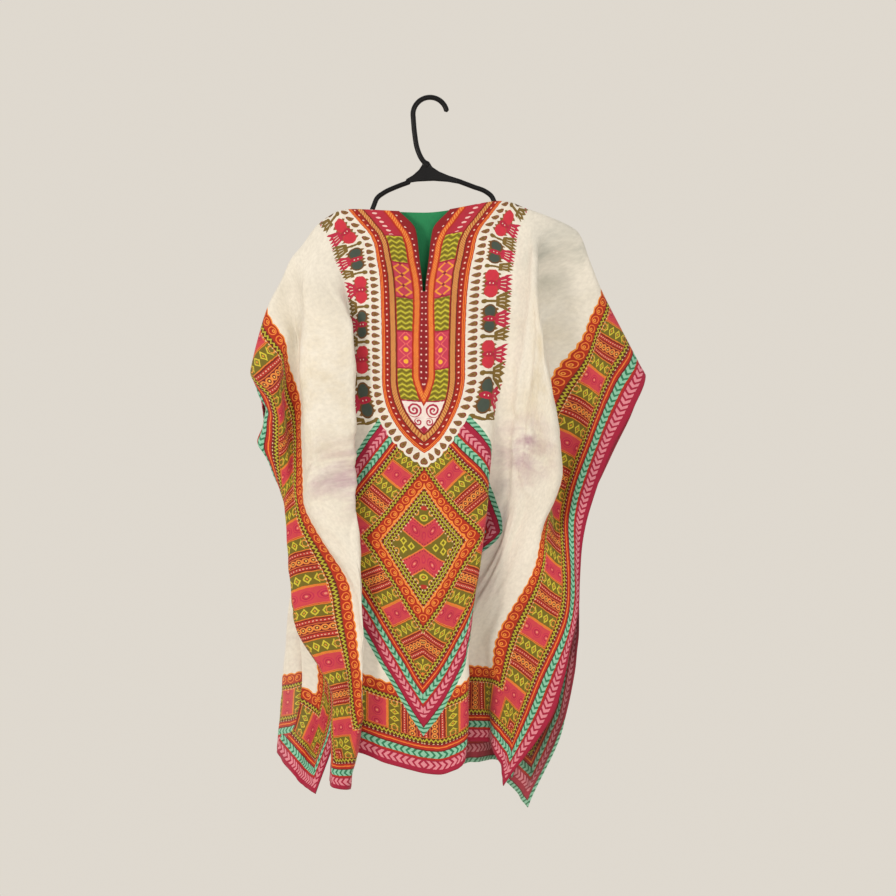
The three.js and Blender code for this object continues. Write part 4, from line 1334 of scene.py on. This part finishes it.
def matt_paint(name, colour):
    """Matt emulsion on a smooth floor: even and pale, with a barely visible roller stipple."""
    material, tree, shader = blank_material(name)
    place = add(tree, "TexCoord").node.outputs["Object"]
    stipple = add(tree, "TexNoise", place, 120.0, 2.0)
    tone = add(tree, "MapRange", stipple, 0.3, 0.7, 0.98, 1.01)
    tree.links.new(shaded(tree, colour, tone), shader.inputs["Base Color"])
    shader.inputs["Roughness"].default_value = 0.9
    return material


# ---- properties -----------------------------------------------------------------------------------


class KaftanCloth(bpy.types.PropertyGroup):
    """The cloth's thickness and the facing's colour."""

    wall: bpy.props.FloatProperty(
        name="Cloth", description="Thickness of the cotton", default=0.7 * MM, min=0.3 * MM, unit="LENGTH"
    )
    hem_wall: bpy.props.FloatProperty(
        name="Hem", description="Thickness where the edge is turned and sewn", default=1.5 * MM,
        min=0.3 * MM, unit="LENGTH",
    )
    facing: bpy.props.FloatVectorProperty(
        name="Facing", description="Colour of the neck facing", subtype="COLOR", size=3, min=0, max=1,
        default=linear("#1C8A56")[:3],
    )


class KaftanHanger(bpy.types.PropertyGroup):
    """The hanger's colour."""

    plastic: bpy.props.FloatVectorProperty(
        name="Plastic", description="Colour of the hanger", subtype="COLOR", size=3, min=0, max=1,
        default=linear("#07070B")[:3],
    )


CLOTH_PLANE = -0.025  # depth of the middle of the front cloth

# Each lamp: name, place, width, watts and tint.
STUDIO_LIGHTS = [
    ("key", (-2.1, -2.3, -0.1), 0.7, 32, "#FFF4E6"),
    ("front_fill", (1.0, -3.2, 0.1), 1.2, 18, "#FFFBF4"),
    ("back_fill", (-0.6, 2.6, 0.8), 2.4, 22, "#FFFFFF"),
]


class KaftanStage(bpy.types.PropertyGroup):
    """The floor, the lights and the camera."""

    floor_drop: bpy.props.FloatProperty(
        name="Floor drop", description="How far the floor lies below the hem", default=1.55, unit="LENGTH"
    )
    camera_distance: bpy.props.FloatProperty(
        name="Camera distance", description="From the cloth to the camera", default=3.1, unit="LENGTH"
    )
    view_width: bpy.props.FloatProperty(
        name="View width", description="Width of the view at the cloth", default=1.3, unit="LENGTH"
    )
    view_x: bpy.props.FloatProperty(
        name="View X", description="Middle of the view, to the right of the hook", default=0.0247,
        unit="LENGTH",
    )
    view_z: bpy.props.FloatProperty(
        name="View Z", description="Middle of the view, above the hook", default=-0.509, unit="LENGTH"
    )
    ambient: bpy.props.FloatProperty(
        name="Ambient", description="Strength of the room's light", default=0.8, min=0
    )
    floor: bpy.props.FloatVectorProperty(
        name="Floor", description="Colour of the floor", subtype="COLOR", size=3, min=0, max=1,
        default=linear("#E9E2D8")[:3],
    )


# ---- operators ------------------------------------------------------------------------------------

MOST_ASTRAY = 15.0  # mm that a piece may reach past its solid
FACING_ROWS = 170
FACING_COLUMNS = 41

def check_fit(piece, node):
    """Raises an error where a piece strays from the solid it stands for."""
    low, high = np.array(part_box(node))
    corners = np.array([corner[:] for corner in piece.bound_box])
    astray = max((low - corners.min(axis=0)).max(), (corners.max(axis=0) - high).max())
    if astray > MOST_ASTRAY * MM:
        raise RuntimeError(f"{piece.name} lies {astray / MM:.1f} mm outside {node}")


def declare(piece, node):
    """Checks a piece against its solid, then rides it on the one body in place of that solid."""
    check_fit(piece, node)
    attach(piece, "root")
    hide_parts(node)


def finish_cloth(piece, node, materials, walls):
    wall, hem_wall = walls
    group = piece.vertex_groups.new(name="hem")
    uv = piece.data.uv_layers["flat_cloth"].data
    place = {}
    for loop in piece.data.loops:
        place[loop.vertex_index] = uv[loop.index].uv
    for vertex, (across, down) in place.items():
        edge = min(HALF_WIDTH * MM - abs(across), LENGTH * MM - down)
        group.add([vertex], 1.0 if edge < HEM_TURN * MM else wall / hem_wall, "REPLACE")
    for material in materials:
        piece.data.materials.append(material)
    shell = piece.modifiers.new("cloth wall", "SOLIDIFY")
    shell.thickness = hem_wall
    shell.vertex_group = "hem"
    shell.offset = 0
    shell.material_offset = 1
    shell.material_offset_rim = 0
    shell.use_even_offset = False
    bpy.context.view_layer.objects.active = piece
    piece.select_set(True)
    bpy.ops.object.modifier_apply(modifier=shell.name)
    piece.select_set(False)
    declare(piece, node)


SHOW_THROUGH = 0.94  # share of the print's colour on the cloth's inner side
TURNED_EDGE = 8.0  # how much of the back's outermost band is turned over at its left corner


def panel_density():
    """How many columns between two fold lines, and how many even rows."""
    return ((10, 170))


class KAFTAN_OT_front(bpy.types.Operator):
    """Makes the front panel: slit, sleeves in one, folds and the whole print"""

    bl_idname = "kaftan.front"
    bl_label = "Front panel"

    def execute(self, context):
        cloth = context.scene.kaftan_cloth
        per_fold, row_count = panel_density()
        rows = cloth_rows(row_count)
        grid = hung_grid(FRONT_FOLDS, FRONT_HEM, -1, rows, per_fold, slit=True)
        grid = crumple(tug(grid, FRONT_TUGS), FRONT_CREASES, seed=FRONT_SEED)
        middle = list(FRONT_FOLDS).index("centre") * per_fold
        foot = int(np.argmin(np.abs(rows - SLIT_FOOT)))
        piece = sheet_mesh("front_cloth", grid, lambda i, j: i == middle and j < foot)
        tree = bpy.data.node_groups.get("border_print") or print_group()
        outer = printed_lawn("printed_cotton_lawn", tree, 0.0, 1.0)
        inner = printed_lawn("printed_cotton_lawn_reverse", tree, 0.0, SHOW_THROUGH)
        finish_cloth(
            piece, "front_panel", (outer, inner), (cloth.wall, cloth.hem_wall),
        )
        return {"FINISHED"}


class KAFTAN_OT_back(bpy.types.Operator):
    """Makes the back panel, cut as the front without its slit"""

    bl_idname = "kaftan.back"
    bl_label = "Back panel"

    def execute(self, context):
        cloth = context.scene.kaftan_cloth
        per_fold, row_count = panel_density()
        grid = hung_grid(BACK_FOLDS, BACK_HEM, 1, cloth_rows(row_count), 2 * per_fold, slit=False)
        grid = crumple(grid, BACK_CREASES, seed=BACK_SEED)[::-1]
        piece = sheet_mesh("back_cloth", grid)
        tree = bpy.data.node_groups.get("border_print") or print_group()
        outer = printed_lawn("printed_cotton_lawn_back", tree, TURNED_EDGE, 1.0)
        inner = printed_lawn("printed_cotton_lawn_back_reverse", tree, TURNED_EDGE, SHOW_THROUGH)
        finish_cloth(
            piece, "back_panel", (outer, inner), (cloth.wall, cloth.hem_wall),
        )
        return {"FINISHED"}


class KAFTAN_OT_facing(bpy.types.Operator):
    """Makes the green facing inside the back neck"""

    bl_idname = "kaftan.facing"
    bl_label = "Neck facing"

    def execute(self, context):
        cloth = context.scene.kaftan_cloth
        rows = [row for row in cloth_rows(FACING_ROWS) if row * LENGTH < FACING_DEPTH]
        index = list(BACK_FOLDS).index("centre") + np.linspace(-1, 1, FACING_COLUMNS)
        hung = [hung_row(BACK_FOLDS, BACK_HEM, 1, down, index) for down in rows]
        grid = crumple(np.array(hung).transpose(1, 0, 2), BACK_CREASES, seed=BACK_SEED)
        inward = vertex_normals(grid)
        inward *= -np.sign(inward[:, :, 1:2])
        grid[:, :, 2:5] += inward * FACING_GAP
        piece = sheet_mesh("neck_facing_cloth", grid[::-1])
        green = dyed_cotton("vat_dyed_cotton", (*cloth.facing, 1.0))
        finish_cloth(
            piece, "neck_facing", (green, green), (cloth.wall, cloth.wall),
        )
        return {"FINISHED"}


BAR_SIDES = 20
BAR_STEP = 2.2  # mm between a bar's rings
TIP_SHARE = 0.7  # how far a bar's rounded end stands out, as a share of its radius
FINE_VOXEL = 0.7 * MM
SMOOTHING_STEPS = 6


def swept_bar(points, radius):
    """A closed round bar along a smooth path in the XZ plane."""
    path = np.array(points, float)
    lengths = np.concatenate([[0], np.cumsum(np.linalg.norm(np.diff(path, axis=0), axis=1))])
    places = np.linspace(0, lengths[-1], int(lengths[-1] / BAR_STEP))
    columns = [curve(lengths, knots, round_slopes(lengths, knots), places) for knots in path.T]
    smooth = np.stack(columns, axis=1)
    ahead = np.gradient(smooth, axis=0)
    ahead /= np.linalg.norm(ahead, axis=1, keepdims=True)
    made = bmesh.new()
    rings = []
    for (x, z), (ahead_x, ahead_z) in zip(smooth, ahead):
        ring = []
        for turn in np.linspace(0, 2 * math.pi, BAR_SIDES, endpoint=False):
            up, out = radius * math.cos(turn), radius * math.sin(turn)
            ring.append(made.verts.new(((x - ahead_z * up) * MM, out * MM, (z + ahead_x * up) * MM)))
        rings.append(ring)
    sides = [(k, (k + 1) % BAR_SIDES) for k in range(BAR_SIDES)]
    for near, far in zip(rings[:-1], rings[1:]):
        for k, following in sides:
            made.faces.new((near[k], near[following], far[following], far[k]))
    for place, turn in ((0, -1), (-1, 1)):
        x, z = (smooth[place] + turn * ahead[place] * radius * TIP_SHARE) * MM
        tip = made.verts.new((x, 0, z))
        for k, following in sides:
            made.faces.new((rings[place][k], rings[place][following], tip)[::turn])
    return made


def join_parts(name, parts):
    """Puts closed bmesh parts together in one object, which the remesh then fuses."""
    mesh = bpy.data.meshes.new(name)
    whole = bmesh.new()
    for part in parts:
        bmesh.ops.recalc_face_normals(part, faces=part.faces)
        part.to_mesh(mesh)
        whole.from_mesh(mesh)
        part.free()
    whole.to_mesh(mesh)
    whole.free()
    piece = bpy.data.objects.new(name, mesh)
    bpy.context.scene.collection.objects.link(piece)
    return piece


def under_seam(side, end):
    """The arm's path under the shoulder seam, square to the seam by the arm's drop."""
    points = []
    for across in np.arange(ARM_START, end, ARM_STEP):
        here, ahead = (
            np.array([float(looked_up(SHOULDER, column, side * place)) for column in (1, 2)])
            for place in (across, across + 1)
        )
        run, rise = (ahead - here) / np.linalg.norm(ahead - here)
        points.append((here[0] + side * rise * ARM_DROP, here[1] - side * run * ARM_DROP))
    return points


def web():
    """The moulded web under the hook: a rounded plate that is thickest down its middle."""
    made = bmesh.new()
    middle = np.mean(WEB, axis=0)
    inward = middle - np.array(WEB)
    inward /= np.linalg.norm(inward, axis=1, keepdims=True)
    loops = {-1: [], 1: []}
    for inset, depth in WEB_STEPS:
        for side, stack in loops.items():
            places = (np.array(WEB) + inward * inset) * MM
            stack.append([made.verts.new((x, side * depth * MM, z)) for x, z in places])
    stack = loops[-1][::-1] + loops[1]
    for first, second in zip(stack[:-1], stack[1:]):
        for k in range(len(WEB)):
            following = (k + 1) % len(WEB)
            made.faces.new((first[k], first[following], second[following], second[k]))
    made.faces.new(stack[0])
    made.faces.new(stack[-1][::-1])
    return made


class KAFTAN_OT_hanger(bpy.types.Operator):
    """Makes the moulded hanger: hook, stem, web and two arms"""

    bl_idname = "kaftan.hanger"
    bl_label = "Hanger"

    def execute(self, context):
        hook = []
        for turn in np.radians(np.arange(*HOOK_TURN)):
            z = HOOK_WIRE - HOOK_RADIUS + HOOK_RADIUS * math.sin(turn)
            hook.append((HOOK_CENTRE + HOOK_RADIUS * math.cos(turn), z))
        parts = [
            swept_bar(hook + STEM, HOOK_WIRE),
            swept_bar(LEFT_ARM + under_seam(-1, LEFT_ARM_END), ARM_RADIUS),
            swept_bar(RIGHT_ARM + under_seam(1, RIGHT_ARM_END), ARM_RADIUS),
            web(),
        ]
        piece = join_parts("hanger_moulding", parts)
        soften = piece.modifiers.new("moulded corners", "REMESH")
        soften.mode = "VOXEL"
        soften.voxel_size = FINE_VOXEL
        soften.use_smooth_shade = True
        smooth = piece.modifiers.new("smooth", "SMOOTH")
        smooth.iterations = SMOOTHING_STEPS
        bpy.context.view_layer.objects.active = piece
        piece.select_set(True)
        bpy.ops.object.convert(target="MESH")
        piece.select_set(False)
        colour = (*context.scene.kaftan_hanger.plastic, 1.0)
        piece.data.materials.append(moulded_polystyrene("moulded_polystyrene", colour))
        declare(piece, "hanger")
        return {"FINISHED"}


class KAFTAN_OT_stage(bpy.types.Operator):
    """Lays the pale floor, sets soft studio light and places the camera"""

    bl_idname = "kaftan.stage"
    bl_label = "Stage"

    def execute(self, context):
        stage = context.scene.kaftan_stage
        low, high = CAD_BOX
        scene = context.scene

        bpy.ops.mesh.primitive_plane_add(size=9, location=(0, 0, low[2] - stage.floor_drop))
        floor = context.object
        floor.name = "studio_floor"
        floor.data.materials.append(matt_paint("matt_emulsion", (*stage.floor, 1.0)))

        world = bpy.data.worlds.new("studio")
        scene.world = world
        world.use_nodes = True
        background = world.node_tree.nodes["Background"]
        background.inputs["Color"].default_value = linear("#F6EFE4")
        background.inputs["Strength"].default_value = stage.ambient

        middle = (low[2] + high[2]) / 2
        for name, place, size, power, tint in STUDIO_LIGHTS:
            lamp = bpy.data.lights.new(name, "AREA")
            lamp.size = size
            lamp.energy = power
            lamp.color = linear(tint)[:3]
            light = bpy.data.objects.new(name, lamp)
            light.location = place
            ahead = np.array((0, 0, middle)) - np.array(place)
            light.rotation_euler = (
                math.atan2(math.hypot(ahead[0], ahead[1]), -ahead[2]), 0,
                math.atan2(-ahead[0], ahead[1]),
            )
            scene.collection.objects.link(light)

        camera = bpy.data.cameras.new("camera")
        camera.sensor_width = 36
        camera.angle = 2 * math.atan(stage.view_width / 2 / stage.camera_distance)
        camera_object = bpy.data.objects.new("camera", camera)
        camera_object.location = (stage.view_x, CLOTH_PLANE - stage.camera_distance, stage.view_z)
        camera_object.rotation_euler = (math.pi / 2, 0, 0)
        scene.collection.objects.link(camera_object)
        scene.camera = camera_object
        scene.view_settings.view_transform = "Standard"
        return {"FINISHED"}


class KAFTAN_PT_panel(bpy.types.Panel):
    """Lists the kaftan's pieces in the sidebar"""

    bl_label = "Kaftan"
    bl_idname = "KAFTAN_PT_panel"
    bl_space_type = "VIEW_3D"
    bl_region_type = "UI"
    bl_category = "Kaftan"

    def draw(self, context):
        for operator in OPERATORS:
            self.layout.operator(operator.bl_idname)
        for group in GROUPS:
            settings = getattr(context.scene, group)
            for name in settings.__annotations__:
                self.layout.prop(settings, name)


GROUPS = {"kaftan_cloth": KaftanCloth, "kaftan_hanger": KaftanHanger, "kaftan_stage": KaftanStage}
OPERATORS = (KAFTAN_OT_hanger, KAFTAN_OT_front, KAFTAN_OT_back, KAFTAN_OT_facing, KAFTAN_OT_stage)


def register():
    for name, group in GROUPS.items():
        bpy.utils.register_class(group)
        setattr(bpy.types.Scene, name, bpy.props.PointerProperty(type=group))
    for operator in OPERATORS:
        bpy.utils.register_class(operator)
    bpy.utils.register_class(KAFTAN_PT_panel)


def unregister():
    bpy.utils.unregister_class(KAFTAN_PT_panel)
    for operator in reversed(OPERATORS):
        bpy.utils.unregister_class(operator)
    for name, group in GROUPS.items():
        delattr(bpy.types.Scene, name)
        bpy.utils.unregister_class(group)


def main():
    register()
    bpy.ops.kaftan.hanger()
    bpy.ops.kaftan.front()
    bpy.ops.kaftan.back()
    bpy.ops.kaftan.facing()
    bpy.ops.kaftan.stage()


if __name__ == "__main__":
    main()
